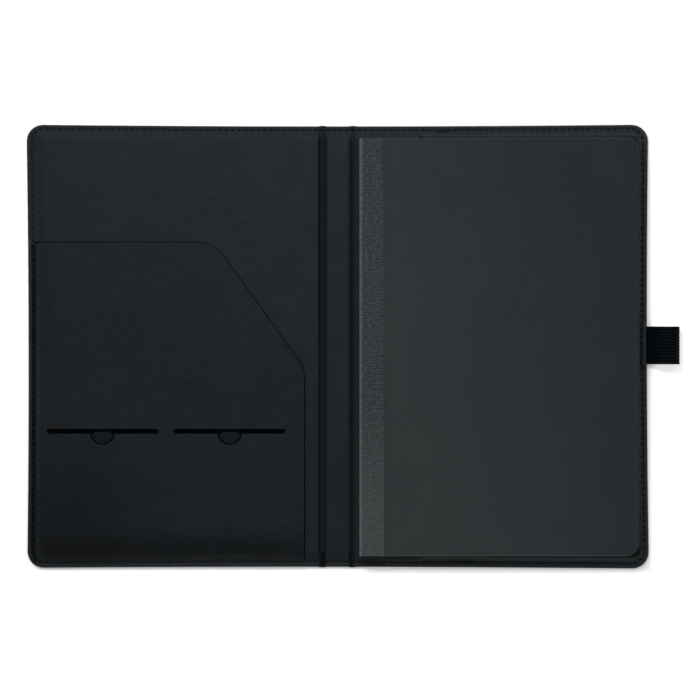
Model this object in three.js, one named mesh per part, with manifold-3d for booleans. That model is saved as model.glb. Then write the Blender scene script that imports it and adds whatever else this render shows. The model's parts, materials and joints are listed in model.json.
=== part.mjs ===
// Padfolio, lying open and flat: front cover on the left, spine, back cover with a writing pad.
// Millimetres. X to the right, Y up along the spine, Z out of the table.
// The origin is the middle of the spine's underside, on the table.

import * as THREE from 'three';
import { mergeVertices } from 'three/addons/utils/BufferGeometryUtils.js';
import Module from 'manifold-3d';

const wasm = await Module();
wasm.setup();

// Writing pad

const padWidth = 141.1;
const padHeight = 209.9;
const padCornerRadius = 6.5;
const sheetCount = 45;
const sheetThickness = 0.1;
const padBoardThickness = 0.8;
const padCoverThickness = 0.35;
const tapeWidth = 12.6;
const tapeThickness = 0.2;
const stapleSpan = 12;
const stapleWireWidth = 0.6;
const stapleWireThickness = 0.4;
const stapleSetback = 5;
const stapleSpacing = 104;

// Folio

const skinThickness = 0.8;
const boardThickness = 2;
const liningThickness = 0.6;
const cornerRadius = 8.5;
const marginTop = 6.1;
const marginBottom = 5.6;
const marginOuter = 3.65;
const boardInset = 6;
const slopeFootInset = 3.4;
const grooveWidth = 4.52;
const spineSetback = 0.4;
const stitchInset = 2.3;
const threadWidth = 0.5;
const threadHeight = 0.3;

// Slit and sleeve that hold the pad's back board

const slitSetback = 29.85;
const slitWidth = 2.85;
const slitOverrun = 0.8;
const boardTrim = 0.3;
const sleeveWall = 0.55;
const sleeveSlope = 0.25;

// Document pocket

const pocketThickness = 0.6;
const pocketHeight = 163.6;
const pocketSetback = 9.15;
const pocketCutWidth = 45.6;
const pocketCutHeight = 63;
const pocketTopRadius = 17;
const pocketSideRadius = 18.5;
const documentGap = 0.3;
const pocketFootRun = 1.9;

// Card slots

const cardWidth = 54;
const cardClearance = 1.6;
const slotHeight = 2.2;
const slotSpacing = 8.35;
const slotAboveEdge = 68.3;
const notchRadius = 5.9;
const notchFillet = 2;
const backingThickness = 0.3;
const cardGap = 0.3;
const backingMargin = 3.2;
const backingAbove = 6;
const backingRim = 1.6;

// Pen loop

const loopWidth = 18.95;
const loopReach = 16.3;
const loopOffset = 0.6;
const loopPly = 1.1;
const loopHollow = 5;
const loopTipGap = 0.4;
const loopTipHeight = 0.3;
const loopWedge = 1.6;
const loopFlare = 7;
const tailThickness = 1.6;

// Clearances

const fit = 0.3;
const snug = 0.1;
const foldGap = 0.15;
const spineGap = 0.25;
const closedGap = 0.6;

// Steps in a quarter circle, and how far a cut reaches past what it cuts

const QUARTER_STEPS = 6;
const LOOP_STEPS = 6;
const OVERCUT = 1;

// Heights above the table

const hingeZ = skinThickness / 2;
const flangeZ = skinThickness + liningThickness;
const boardZ = skinThickness + boardThickness;
const liningZ = boardZ + liningThickness;
const tapeZ = liningZ + snug;
const padBoardZ = tapeZ + tapeThickness;
const padBoardTop = padBoardZ + padBoardThickness;
const sleeveZ = padBoardTop + snug;
const sleeveTop = sleeveZ + liningThickness;
const sheetsZ = sleeveTop + snug;
const sheetsTop = sheetsZ + sheetCount * sheetThickness;
const padCoverZ = sheetsTop + snug / 2;
const padCoverTop = padCoverZ + padCoverThickness;
const padTop = padCoverTop + tapeThickness;
const backingZ = liningZ + documentGap;
const backingTop = backingZ + backingThickness;
const pocketZ = backingTop + cardGap;
const pocketTop = pocketZ + pocketThickness;
const pocketFlangeTop = flangeZ + pocketThickness;
const tailTop = skinThickness + tailThickness;
const tunnelTop = tailTop + liningThickness;

// Grooves: a half fold keeps each side behind the 45 degree plane through the hinge

const grooveHalf = grooveWidth / 2;
const skinEnd = hingeZ + foldGap;
const flangeEnd = flangeZ - hingeZ + foldGap;
const shoulder = Math.max(liningZ - hingeZ + foldGap - grooveHalf, foldGap);
const shoulderZ = liningZ - shoulder;
const bend = liningThickness * (Math.SQRT2 - 1);

// Plan sizes

const closedDepth = padTop - hingeZ + pocketTop - hingeZ + closedGap;
const hingeX = closedDepth / 2;
const padLeft = hingeX + liningZ - hingeZ + spineGap;
const padRight = padLeft + padWidth;
const coverWidth = padRight + marginOuter - hingeX;
const coverEdge = hingeX + coverWidth;
const coverHeight = padHeight + marginTop + marginBottom;
const halfHeight = coverHeight / 2;
const padY = (marginBottom - marginTop) / 2;
const padHalf = padHeight / 2;
const sheetsLeft = padLeft + tapeThickness;
const creaseX = padLeft + tapeWidth;
const slitLeft = padLeft + slitSetback;
const slitRight = slitLeft + slitWidth;
const slotLength = cardWidth + cardClearance;
const slotY = slotAboveEdge - halfHeight;
const pocketWidth = coverWidth - pocketSetback;
const slotMargin = (pocketWidth - 2 * slotLength - slotSpacing) / 2;

// Materials

function matte(colour, roughness) {
  return new THREE.MeshStandardMaterial({ color: colour, roughness, metalness: 0 });
}

const skinMaterial = matte(0x23272b, 0.55);
const liningMaterial = matte(0x262a2d, 0.6);
const pocketMaterial = matte(0x212529, 0.6);
const boardMaterial = matte(0x8a8378, 0.95);
const threadMaterial = matte(0x15181b, 0.7);
const elasticMaterial = matte(0x0a0c0f, 0.85);
const cardMaterial = matte(0x2d3134, 0.9);
const paperMaterial = matte(0xf1efe8, 0.95);
const tapeMaterial = matte(0x3a3e40, 0.8);
const steelMaterial = new THREE.MeshStandardMaterial({
  color: 0xb9bcc0,
  roughness: 0.35,
  metalness: 1,
});

// Solids and how they are joined and cut

function solidOf(geometry) {
  const bare = geometry.clone();
  bare.deleteAttribute('normal');
  bare.deleteAttribute('uv');
  const merged = mergeVertices(bare, 1e-5);
  const vertProperties = new Float32Array(merged.attributes.position.array);
  const triVerts = new Uint32Array(merged.index.array);
  return new wasm.Manifold(new wasm.Mesh({ numProp: 3, vertProperties, triVerts }));
}

function geometryOf(solid) {
  const mesh = solid.getMesh();
  const geometry = new THREE.BufferGeometry();
  const positions = new Float32Array(mesh.vertProperties);
  geometry.setAttribute('position', new THREE.BufferAttribute(positions, 3));
  geometry.setIndex(new THREE.BufferAttribute(new Uint32Array(mesh.triVerts), 1));
  geometry.computeVertexNormals();
  return geometry;
}

// A box between two X, two Y and two Z values
function box(x0, x1, y0, y1, z0, z1) {
  const geometry = new THREE.BoxGeometry(x1 - x0, y1 - y0, z1 - z0);
  geometry.translate((x0 + x1) / 2, (y0 + y1) / 2, (z0 + z1) / 2);
  return solidOf(geometry);
}

// A plate of the shape's outline between two heights
function plate(shape, z0, z1, curveSegments = QUARTER_STEPS) {
  const options = { depth: z1 - z0, bevelEnabled: false, curveSegments };
  const geometry = new THREE.ExtrudeGeometry(shape, options);
  geometry.translate(0, 0, z0);
  return solidOf(geometry);
}

// A profile drawn in X and Z, drawn out along Y
function along(shape, y0, y1, curveSegments = QUARTER_STEPS) {
  const options = { depth: y1 - y0, bevelEnabled: false, curveSegments };
  const geometry = new THREE.ExtrudeGeometry(shape, options);
  geometry.rotateX(Math.PI / 2);
  geometry.translate(0, y1, 0);
  return solidOf(geometry);
}

function polygon(points) {
  return new THREE.Shape(points.map(([x, y]) => new THREE.Vector2(x, y)));
}

// The outline of a rectangle with rounded corners, anticlockwise from the right side's top.
// Every outline has as many points as any other, so two of them can be joined by a skin.
function roundedRect({ x0, x1, y0, y1, left, right }) {
  const corners = [
    [x1 - right, y1 - right, right],
    [x0 + left, y1 - left, left],
    [x0 + left, y0 + left, left],
    [x1 - right, y0 + right, right],
  ];
  return corners.flatMap(([x, y, radius], corner) =>
    Array.from({ length: QUARTER_STEPS + 1 }, (_, step) => {
      const angle = ((corner + step / QUARTER_STEPS) * Math.PI) / 2;
      return [x + radius * Math.cos(angle), y + radius * Math.sin(angle)];
    }),
  );
}

// A solid skinned over outlines stacked in Z, from [height, outline] pairs
function loft(levels) {
  const count = levels[0][1].length;
  const positions = levels.flatMap(([z, outline]) => outline.flatMap(([x, y]) => [x, y, z]));
  const index = [];
  for (let level = 0; level + 1 < levels.length; level += 1) {
    for (let i = 0; i < count; i += 1) {
      const a = level * count + i;
      const b = level * count + ((i + 1) % count);
      index.push(a, b, b + count, a, b + count, a + count);
    }
  }
  const top = (levels.length - 1) * count;
  for (let i = 1; i + 1 < count; i += 1) {
    index.push(0, i + 1, i);
    index.push(top, top + i, top + i + 1);
  }
  const geometry = new THREE.BufferGeometry();
  geometry.setAttribute('position', new THREE.Float32BufferAttribute(positions, 3));
  geometry.setIndex(index);
  return solidOf(geometry);
}

// A mesh from a solid, with its material
function piece(name, solid, material) {
  const mesh = new THREE.Mesh(geometryOf(solid), material);
  mesh.name = name;
  return mesh;
}

// Covers: each is measured from its hinge outwards, and side is +1 for the back, -1 for the front

// The outline of a cover between a distance from the hinge and an inset from its outer edges
function coverOutline(side, near, inset, outerRadius, innerRadius = foldGap) {
  const far = coverWidth - inset;
  const half = halfHeight - inset;
  const y = { y0: -half, y1: half };
  if (side > 0) return roundedRect({ x0: near, x1: far, ...y, left: innerRadius, right: outerRadius });
  return roundedRect({ x0: -far, x1: -near, ...y, left: outerRadius, right: innerRadius });
}

// The radius of a corner that lies inset from the cover's own corner
function insetRadius(inset) {
  return Math.max(cornerRadius - inset, cornerRadius / 4);
}

function coverPlate(side, near, inset, z0, z1) {
  const outline = coverOutline(side, near, inset, insetRadius(inset));
  return plate(polygon(outline), z0, z1);
}

// How far from the edge the lining's slope has come at a height
function slopeInset(z) {
  const rise = Math.min(Math.max((z - flangeZ) / (liningZ - flangeZ), 0), 1);
  return slopeFootInset + rise * (boardInset - slopeFootInset);
}

// The raised middle of a cover's lining, over its greyboard
function coverMound(side) {
  const level = (z, near) => {
    const inset = slopeInset(z);
    return [z, coverOutline(side, near, inset, insetRadius(inset))];
  };
  return loft([
    level(skinThickness, grooveHalf),
    level(flangeZ, grooveHalf),
    level(shoulderZ, grooveHalf),
    level(liningZ, grooveHalf + shoulder),
  ]);
}

// The same form one lining thickness lower, which leaves room for the greyboard
function coverHollow(side) {
  const level = (z, near) => {
    const inset = slopeInset(z + liningThickness);
    return [z, coverOutline(side, near, inset, insetRadius(inset))];
  };
  const near = grooveHalf + liningThickness;
  return loft([
    level(skinThickness - OVERCUT, near),
    level(skinThickness, near),
    level(shoulderZ - bend, near),
    level(boardZ, grooveHalf + shoulder + bend),
  ]);
}

// The outer skin of a cover: its end is an edge that points at the hinge, where the skin bends
function wedgeSkin(outline) {
  return loft([
    [0, outline(skinEnd)],
    [hingeZ, outline(foldGap)],
    [skinThickness, outline(skinEnd)],
  ]);
}

function coverSkin(side) {
  return wedgeSkin((near) => coverOutline(side, near, 0, cornerRadius));
}

function coverBoard(side) {
  const near = grooveHalf + shoulder + bend + snug;
  return coverPlate(side, near, boardInset + snug, skinThickness, boardZ);
}

// A U of thread round a cover, which climbs to a second height where zone(grow) lies
function coverThread(side, zone, raisedZ) {
  const outer = stitchInset - threadWidth / 2;
  const inner = stitchInset + threadWidth / 2;
  const ring = (z0, z1) =>
    coverPlate(side, flangeEnd, outer, z0, z1).subtract(
      coverPlate(side, flangeEnd - cornerRadius, inner, z0 - OVERCUT, z1 + OVERCUT),
    );
  const low = ring(flangeZ, flangeZ + threadHeight).subtract(zone(fit));
  const high = ring(raisedZ, raisedZ + threadHeight).intersect(zone(fit + threadWidth));
  const climb = ring(flangeZ, raisedZ + threadHeight)
    .intersect(zone(fit + threadWidth))
    .subtract(zone(fit));
  return low.add(high).add(climb);
}

// Back cover: skin, greyboard, lining with the slit and the sleeve

function sleeveOutline(topInset, outerInset, radius, x0) {
  return roundedRect({
    x0,
    x1: coverWidth - outerInset,
    y0: topInset - halfHeight,
    y1: halfHeight - topInset,
    left: foldGap,
    right: radius,
  });
}

// The raised panel that the pad's board slides under, and the room below it
function sleeve(slitX) {
  const wallInset = Math.min(marginTop, marginBottom) - fit;
  const outerInset = marginOuter + boardTrim - fit;
  const foot = slopeFootInset - wallInset;
  const shell = [
    [skinThickness, wallInset - sleeveWall + foot, outerInset - sleeveWall - sleeveSlope],
    [flangeZ, wallInset - sleeveWall + foot, outerInset - sleeveWall - sleeveSlope],
    [sleeveTop, wallInset - sleeveWall, outerInset - sleeveWall],
  ];
  const hollow = [
    [skinThickness - OVERCUT, wallInset + foot, outerInset - sleeveSlope],
    [skinThickness, wallInset + foot, outerInset - sleeveSlope],
    [sleeveZ, wallInset, outerInset],
  ];
  const build = (levels, x0) =>
    loft(levels.map(([z, top, outer]) => [z, sleeveOutline(top, outer, insetRadius(outer), x0)]));
  return { shell: build(shell, slitX), hollow: build(hollow, slitX - slitWidth / 2) };
}

function loopZone(grow) {
  const half = loopWidth / 2 + fit + liningThickness + grow;
  return box(
    coverWidth - boardInset,
    coverWidth + loopReach,
    loopOffset - half,
    loopOffset + half,
    -OVERCUT,
    padTop,
  );
}

function backLining() {
  const slitX = slitRight - hingeX;
  const { shell, hollow } = sleeve(slitX);
  const low = coverMound(1).intersect(
    box(0, slitX + liningThickness, -halfHeight, halfHeight, 0, padTop),
  );
  const slit = box(
    slitX - slitWidth,
    slitX,
    padY - padHalf - fit,
    padY + padHalf + slitOverrun,
    -OVERCUT,
    padTop,
  );
  const tailSide = loopWidth / 2 + fit;
  const wallSide = tailSide + liningThickness;
  const tunnel = box(
    coverWidth - slopeFootInset,
    coverWidth,
    loopOffset - wallSide,
    loopOffset + wallSide,
    skinThickness,
    tunnelTop,
  );
  const tailRoom = box(
    coverWidth - boardInset,
    coverWidth + OVERCUT,
    loopOffset - tailSide,
    loopOffset + tailSide,
    -OVERCUT,
    tailTop,
  );
  return coverPlate(1, flangeEnd, 0, skinThickness, flangeZ)
    .add(low)
    .add(shell)
    .add(tunnel)
    .subtract(coverHollow(1))
    .subtract(hollow)
    .subtract(slit)
    .subtract(tailRoom);
}

function loopTail() {
  return box(
    coverWidth - boardInset + fit,
    coverWidth,
    loopOffset - loopWidth / 2,
    loopOffset + loopWidth / 2,
    skinThickness,
    tailTop,
  );
}

function backCover() {
  const group = new THREE.Group();
  group.position.x = hingeX;
  group.add(
    piece('back_outer_skin', coverSkin(1), skinMaterial),
    piece('back_greyboard', coverBoard(1), boardMaterial),
    piece('back_lining', backLining(), liningMaterial),
    piece('back_seam_thread', coverThread(1, loopZone, tunnelTop), threadMaterial),
    piece('pen_loop_tail', loopTail(), elasticMaterial),
  );
  return group;
}

// Front cover: skin, greyboard, lining, document pocket and the backing of its card slots

function frontLining() {
  return coverPlate(-1, flangeEnd, 0, skinThickness, flangeZ)
    .add(coverMound(-1))
    .subtract(coverHollow(-1));
}

// The pocket's outline: straight top, slanted cut and straight side, with rounded turns.
// grow moves the top and the side outwards.
function pocketShape(grow = 0) {
  const left = -coverWidth - OVERCUT;
  const bottom = -halfHeight - OVERCUT;
  const side = -pocketSetback + grow;
  const top = pocketHeight - halfHeight + grow;
  const slant = Math.atan2(pocketCutHeight, pocketCutWidth);
  const lean = Math.PI / 2 - slant;
  const sideTurnY = top - pocketCutHeight - pocketSideRadius * Math.tan(lean / 2);
  const topTurnX = side - pocketCutWidth - pocketTopRadius * Math.tan(slant / 2);
  const shape = new THREE.Shape();
  shape.moveTo(left, bottom);
  shape.lineTo(side, bottom);
  shape.lineTo(side, sideTurnY);
  shape.absarc(side - pocketSideRadius, sideTurnY, pocketSideRadius, 0, lean);
  shape.absarc(topTurnX, top - pocketTopRadius, pocketTopRadius, lean, Math.PI / 2);
  shape.lineTo(left, top);
  return shape;
}

function slotCentres() {
  const first = -coverWidth + slotMargin + slotLength / 2;
  return [first, first + slotLength + slotSpacing];
}

// A card slot with round ends and a half round thumb notch below it, about the slot's centre
function slotShape(x, y) {
  const end = slotHeight / 2;
  const straight = slotLength / 2 - end;
  const edge = y - end;
  const reach = Math.sqrt((notchRadius + notchFillet) ** 2 - notchFillet ** 2);
  const turn = Math.asin(notchFillet / (notchRadius + notchFillet));
  const shape = new THREE.Shape();
  shape.moveTo(x - straight, edge);
  shape.lineTo(x - reach, edge);
  shape.absarc(x - reach, edge - notchFillet, notchFillet, Math.PI / 2, turn, true);
  shape.absarc(x, edge, notchRadius, Math.PI + turn, 2 * Math.PI - turn);
  shape.absarc(x + reach, edge - notchFillet, notchFillet, Math.PI - turn, Math.PI / 2, true);
  shape.lineTo(x + straight, edge);
  shape.absarc(x + straight, y, end, -Math.PI / 2, Math.PI / 2);
  shape.lineTo(x - straight, y + end);
  shape.absarc(x - straight, y, end, Math.PI / 2, 1.5 * Math.PI);
  return shape;
}

// The pocket panel: sewn down along its left and bottom edges, raised over the lining
function documentPocket() {
  const outerFoot = stitchInset + threadWidth / 2 + snug;
  const innerFoot = slopeFootInset - snug;
  const level = (z, inset) => [z, coverOutline(-1, -cornerRadius, inset, insetRadius(inset))];
  const raised = loft([
    level(flangeZ, outerFoot),
    level(pocketFlangeTop, outerFoot),
    level(pocketTop, outerFoot + pocketFootRun),
  ]);
  const room = loft([
    level(flangeZ - OVERCUT, innerFoot),
    level(flangeZ, innerFoot),
    level(pocketZ, innerFoot + pocketFootRun),
  ]);
  const outline = plate(pocketShape(), 0, padTop);
  const slots = slotCentres().map((x) => plate(slotShape(x, slotY), 0, padTop));
  return slots.reduce(
    (panel, slot) => panel.subtract(slot),
    coverPlate(-1, 0, 0, flangeZ, pocketFlangeTop).add(raised).intersect(outline).subtract(room),
  );
}

// A shallow tray behind each slot, joined to the panel by its rim
function cardBacking(x) {
  const half = slotLength / 2 + backingMargin;
  const bottom = boardInset + fit - halfHeight;
  const top = slotY + backingAbove;
  return box(x - half, x + half, bottom, top, backingZ, pocketZ).subtract(
    box(
      x - half + backingRim,
      x + half - backingRim,
      bottom + backingRim,
      top - backingRim,
      backingTop,
      pocketZ + OVERCUT,
    ),
  );
}

function pocketZone(grow) {
  return plate(pocketShape(grow), -OVERCUT, padTop);
}

function frontCover() {
  const [leftSlot, rightSlot] = slotCentres();
  const group = new THREE.Group();
  group.position.x = -hingeX;
  group.add(
    piece('front_outer_skin', coverSkin(-1), skinMaterial),
    piece('front_greyboard', coverBoard(-1), boardMaterial),
    piece('front_lining', frontLining(), liningMaterial),
    piece('document_pocket', documentPocket(), pocketMaterial),
    piece('card_backing_left', cardBacking(leftSlot), cardMaterial),
    piece('card_backing_right', cardBacking(rightSlot), cardMaterial),
    piece('front_seam_thread', coverThread(-1, pocketZone, pocketFlangeTop), threadMaterial),
  );
  return group;
}

// Spine: a narrow strip of the same skin, greyboard and lining between the two grooves

function spineOutline(endGap, inset) {
  const half = hingeX - endGap;
  const high = halfHeight - spineSetback - inset;
  return roundedRect({ x0: -half, x1: half, y0: -high, y1: high, left: foldGap, right: foldGap });
}

function spineLining() {
  const level = (z, endGap, drop) => [z, spineOutline(endGap, slopeInset(z + drop))];
  const mound = loft([
    level(skinThickness, grooveHalf, 0),
    level(flangeZ, grooveHalf, 0),
    level(shoulderZ, grooveHalf, 0),
    level(liningZ, grooveHalf + shoulder, 0),
  ]);
  const near = grooveHalf + liningThickness;
  const hollow = loft([
    level(skinThickness - OVERCUT, near, liningThickness),
    level(skinThickness, near, liningThickness),
    level(shoulderZ - bend, near, liningThickness),
    level(boardZ, grooveHalf + shoulder + bend, liningThickness),
  ]);
  const flange = plate(polygon(spineOutline(flangeEnd, 0)), skinThickness, flangeZ);
  return flange.add(mound).subtract(hollow);
}

function spineThread(end) {
  const half = hingeX - flangeEnd;
  const y = end * (halfHeight - spineSetback - stitchInset);
  const side = threadWidth / 2;
  return box(-half, half, y - side, y + side, flangeZ, flangeZ + threadHeight);
}

function spine() {
  const board = spineOutline(grooveHalf + shoulder + bend + snug, boardInset + snug);
  const group = new THREE.Group();
  group.add(
    piece('spine_outer_skin', wedgeSkin((endGap) => spineOutline(endGap, 0)), skinMaterial),
    piece('spine_greyboard', plate(polygon(board), skinThickness, boardZ), boardMaterial),
    piece('spine_lining', spineLining(), liningMaterial),
    piece('spine_seam_thread_top', spineThread(1), threadMaterial),
    piece('spine_seam_thread_bottom', spineThread(-1), threadMaterial),
  );
  return group;
}

// Writing pad: back board, sheets, card cover, staples and binding tape

function padPlate(x0, x1, z0, z1, rightRadius) {
  const outline = roundedRect({
    x0,
    x1,
    y0: padY - padHalf,
    y1: padY + padHalf,
    left: foldGap,
    right: rightRadius,
  });
  return plate(polygon(outline), z0, z1);
}

function stapleCentres() {
  return [padY + stapleSpacing / 2, padY - stapleSpacing / 2];
}

// The room that a staple needs, with its ends turned in under the board, or the staple itself
function stapleForm(y, grow) {
  const x = sheetsLeft + stapleSetback;
  const wide = stapleWireWidth / 2 + grow;
  const half = stapleSpan / 2;
  const turned = stapleSpan / 3;
  const leg = (end) => {
    const middle = y + end * (half - stapleWireWidth / 2);
    return box(x - wide, x + wide, middle - wide, middle + wide, padBoardZ, padCoverTop);
  };
  const turn = (end) => {
    const [low, high] = [y + end * half, y + end * (half - turned)].sort((a, b) => a - b);
    const z1 = padBoardZ + stapleWireThickness + grow;
    return box(x - wide, x + wide, low - grow, high + grow, padBoardZ, z1);
  };
  const crown = box(
    x - wide,
    x + wide,
    y - half - grow,
    y + half + grow,
    padCoverTop - stapleWireThickness,
    padCoverTop,
  );
  return crown.add(leg(1)).add(leg(-1)).add(turn(1)).add(turn(-1));
}

// Room for both staples, open above and below
function stapleRoom() {
  return stapleCentres()
    .map((y) => stapleForm(y, fit))
    .reduce((all, one) => all.add(one));
}

// The sheets: full height over the board at the bound side, and over the sleeve beyond the slit
function paperBlock() {
  const over = padPlate(sheetsLeft, padRight, sheetsZ, sheetsTop, padCornerRadius);
  const bound = padPlate(sheetsLeft, slitLeft - fit, padBoardTop, sheetsTop, foldGap);
  return over.add(bound).subtract(stapleRoom());
}

function padBoard() {
  const board = padPlate(sheetsLeft, padRight - boardTrim, padBoardZ, padBoardTop, padCornerRadius);
  return board.subtract(stapleRoom());
}

function boundEdge() {
  return padPlate(sheetsLeft, creaseX - fit, sheetsTop, padCoverTop, foldGap).subtract(stapleRoom());
}

function bindingTape() {
  const profile = polygon([
    [padLeft, tapeZ],
    [creaseX, tapeZ],
    [creaseX, padBoardZ],
    [sheetsLeft, padBoardZ],
    [sheetsLeft, padCoverTop],
    [creaseX, padCoverTop],
    [creaseX, padTop],
    [padLeft, padTop],
  ]);
  return along(profile, padY - padHalf, padY + padHalf);
}

function writingPad() {
  const [upper, lower] = stapleCentres();
  const group = new THREE.Group();
  group.add(
    piece('pad_back_board', padBoard(), boardMaterial),
    piece('pad_sheets', paperBlock(), paperMaterial),
    piece('pad_cover_bound_edge', boundEdge(), cardMaterial),
    piece('pad_binding_tape', bindingTape(), tapeMaterial),
    piece('pad_staple_upper', stapleForm(upper, 0), steelMaterial),
    piece('pad_staple_lower', stapleForm(lower, 0), steelMaterial),
    piece(
      'pad_cover',
      padPlate(creaseX + fit, padRight, padCoverZ, padCoverTop, padCornerRadius),
      cardMaterial,
    ),
  );
  return group;
}

// Pen loop: one band of elastic, folded to a teardrop that rests on the table

function penLoop() {
  const tipX = coverEdge + loopTipGap;
  const tipZ = skinThickness + tailThickness / 2;
  const end = loopHollow / 2 + loopPly;
  const endX = coverEdge + loopReach - end;
  const flareX = coverEdge + loopFlare;
  const wedgeX = tipX + loopWedge;
  const tip = loopTipHeight / 2;
  const top = 2 * end;
  const outline = new THREE.Shape();
  outline.moveTo(tipX, tipZ - tip);
  outline.lineTo(wedgeX, tipZ - loopPly);
  outline.quadraticCurveTo((wedgeX + flareX) / 2, 0, flareX, 0);
  outline.lineTo(endX, 0);
  outline.absarc(endX, end, end, -Math.PI / 2, Math.PI / 2);
  outline.lineTo(flareX, top);
  outline.bezierCurveTo(
    flareX - loopPly,
    top,
    (wedgeX + flareX) / 2,
    tipZ + 2 * loopPly,
    wedgeX,
    tipZ + loopPly,
  );
  outline.lineTo(tipX, tipZ + tip);
  const hollow = new THREE.Path();
  const throatX = wedgeX + loopPly;
  const inner = loopHollow / 2;
  hollow.moveTo(throatX, tipZ);
  hollow.quadraticCurveTo((throatX + flareX) / 2, loopPly, flareX, loopPly);
  hollow.lineTo(endX, loopPly);
  hollow.absarc(endX, end, inner, -Math.PI / 2, Math.PI / 2);
  hollow.lineTo(flareX, top - loopPly);
  hollow.quadraticCurveTo((throatX + flareX) / 2, tipZ + 2 * loopPly, throatX, tipZ);
  outline.holes.push(hollow);
  const half = loopWidth / 2;
  return along(outline, loopOffset - half, loopOffset + half, LOOP_STEPS);
}

// The folio

const padfolio = new THREE.Group();
padfolio.add(
  backCover(),
  spine(),
  frontCover(),
  writingPad(),
  piece('pen_loop', penLoop(), elasticMaterial),
);

export default padfolio;
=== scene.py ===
# %% [markdown]
# # A padfolio, lying open
# The folio is two boards and a spine between an outer cloth and a lining, sewn together all round.
# The left cover has a document pocket with two card slots, and the right one holds a writing pad.
# The solids of the CAD model say where each part is. Here every soft part gets its real form:
# one cloth over the folds, single stitches, a ribbed pen loop, loose sheets and a woven tape.

import json
import math
import random

import bmesh
import bpy
from mathutils import Matrix, Vector


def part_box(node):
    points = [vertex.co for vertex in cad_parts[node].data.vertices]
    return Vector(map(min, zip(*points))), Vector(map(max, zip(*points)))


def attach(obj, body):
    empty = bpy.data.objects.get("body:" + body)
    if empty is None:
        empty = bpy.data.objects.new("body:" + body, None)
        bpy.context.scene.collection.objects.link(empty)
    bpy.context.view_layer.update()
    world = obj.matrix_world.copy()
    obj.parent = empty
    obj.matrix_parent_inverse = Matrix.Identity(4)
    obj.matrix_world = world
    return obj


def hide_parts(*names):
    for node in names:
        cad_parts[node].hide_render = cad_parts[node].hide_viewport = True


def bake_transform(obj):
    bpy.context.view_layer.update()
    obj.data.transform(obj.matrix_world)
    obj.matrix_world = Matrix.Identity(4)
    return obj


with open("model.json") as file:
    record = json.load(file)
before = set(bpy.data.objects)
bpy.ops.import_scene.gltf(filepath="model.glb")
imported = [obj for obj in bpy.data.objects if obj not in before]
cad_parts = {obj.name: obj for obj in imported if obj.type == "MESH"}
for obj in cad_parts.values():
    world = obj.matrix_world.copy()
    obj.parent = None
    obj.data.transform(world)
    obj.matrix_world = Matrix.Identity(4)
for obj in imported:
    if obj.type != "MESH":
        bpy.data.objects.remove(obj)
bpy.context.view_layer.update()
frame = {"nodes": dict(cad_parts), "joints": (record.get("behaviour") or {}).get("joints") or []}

# %% [markdown]
# ## Places in millimetres
# Blender works in metres and a maker in millimetres, so each place is written in millimetres and
# turned over by one small function. The sizes come from the CAD nodes, so that nothing has to be
# fitted by eye.

# %% Millimetres, and the main sizes of the folio
MM = 0.001


def at(x, y, z=0.0):
    """A place given in millimetres, in Blender's metres."""
    return Vector((x * MM, y * MM, z * MM))


def node_box(name):
    """The two corners of a CAD node, in millimetres."""
    low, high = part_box(name)
    return low / MM, high / MM


EDGE_X, EDGE_Y = node_box("back_outer_skin")[1].xy
joints = {joint["name"]: joint for joint in frame["joints"]}
HINGE = joints["spine_fold"]["pos_m"][0] / MM
CORNER = 8.5
print("half width", round(EDGE_X, 2), "half height", round(EDGE_Y, 2), "hinge line", round(HINGE, 2))

# %% [markdown]
# ## Soft steps
# Pressed cloth has no sharp steps. Three small curves are used all through: an S-shaped rise,
# a hump, and a section read off a short list of (distance, height) pairs, as from a drawing.

# %% Curves for sections
def rise(value, start, end):
    """0 before start, 1 after end, and an S-shaped curve between them."""
    share = min(max((value - start) / (end - start), 0.0), 1.0)
    return share * share * (3 - 2 * share)


def hump(value, middle, width):
    """1 in the middle, falling softly to 0 at width to either side."""
    share = min(abs(value - middle) / width, 1.0)
    return (1 - share * share) ** 2


def section(value, points):
    """The height at a distance, on a section drawn as (distance, height) pairs."""
    if value <= points[0][0]:
        return points[0][1]
    for (x0, z0), (x1, z1) in zip(points, points[1:]):
        if value <= x1:
            return z0 + (z1 - z0) * (value - x0) / (x1 - x0)
    return points[-1][1]


def inset_of(x, y):
    """How far a place lies inside the folio's rounded outline."""
    across = abs(x) - (EDGE_X - CORNER)
    up = abs(y) - (EDGE_Y - CORNER)
    if across > 0 and up > 0:
        return CORNER - math.hypot(across, up)
    return min(EDGE_X - abs(x), EDGE_Y - abs(y))


# %% [markdown]
# ## Working by hand, in code
# An operator acts on all that is selected, so everything is put down before a new piece is taken
# up. In edit mode the faces, edges or vertices to work on are picked by their place.

# %% Taking pieces up and putting them down
def put_down():
    """Leaves edit mode with nothing selected."""
    if bpy.context.object and bpy.context.object.mode == "EDIT":
        bpy.ops.object.mode_set(mode="OBJECT")
    bpy.ops.object.select_all(action="DESELECT")


def take_up(piece, edit=False):
    """Makes one piece the only one selected, in edit mode if asked."""
    put_down()
    piece.select_set(True)
    bpy.context.view_layer.objects.active = piece
    if edit:
        bpy.ops.object.mode_set(mode="EDIT")


# %% Picking parts of a piece
def pick(kind, wanted):
    """Selects each vertex, edge or face whose middle, in millimetres, is wanted."""
    bpy.ops.mesh.select_mode(type=kind)
    bpy.ops.mesh.select_all(action="DESELECT")
    mesh = bpy.context.object.data
    work = bmesh.from_edit_mesh(mesh)
    for part in {"VERT": work.verts, "EDGE": work.edges, "FACE": work.faces}[kind]:
        if kind == "VERT":
            middle = part.co
        elif kind == "EDGE":
            middle = (part.verts[0].co + part.verts[1].co) / 2
        else:
            middle = part.calc_center_median()
        if wanted(middle / MM, part):
            part.select_set(True)
    work.select_flush_mode()
    bmesh.update_edit_mesh(mesh)


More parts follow.
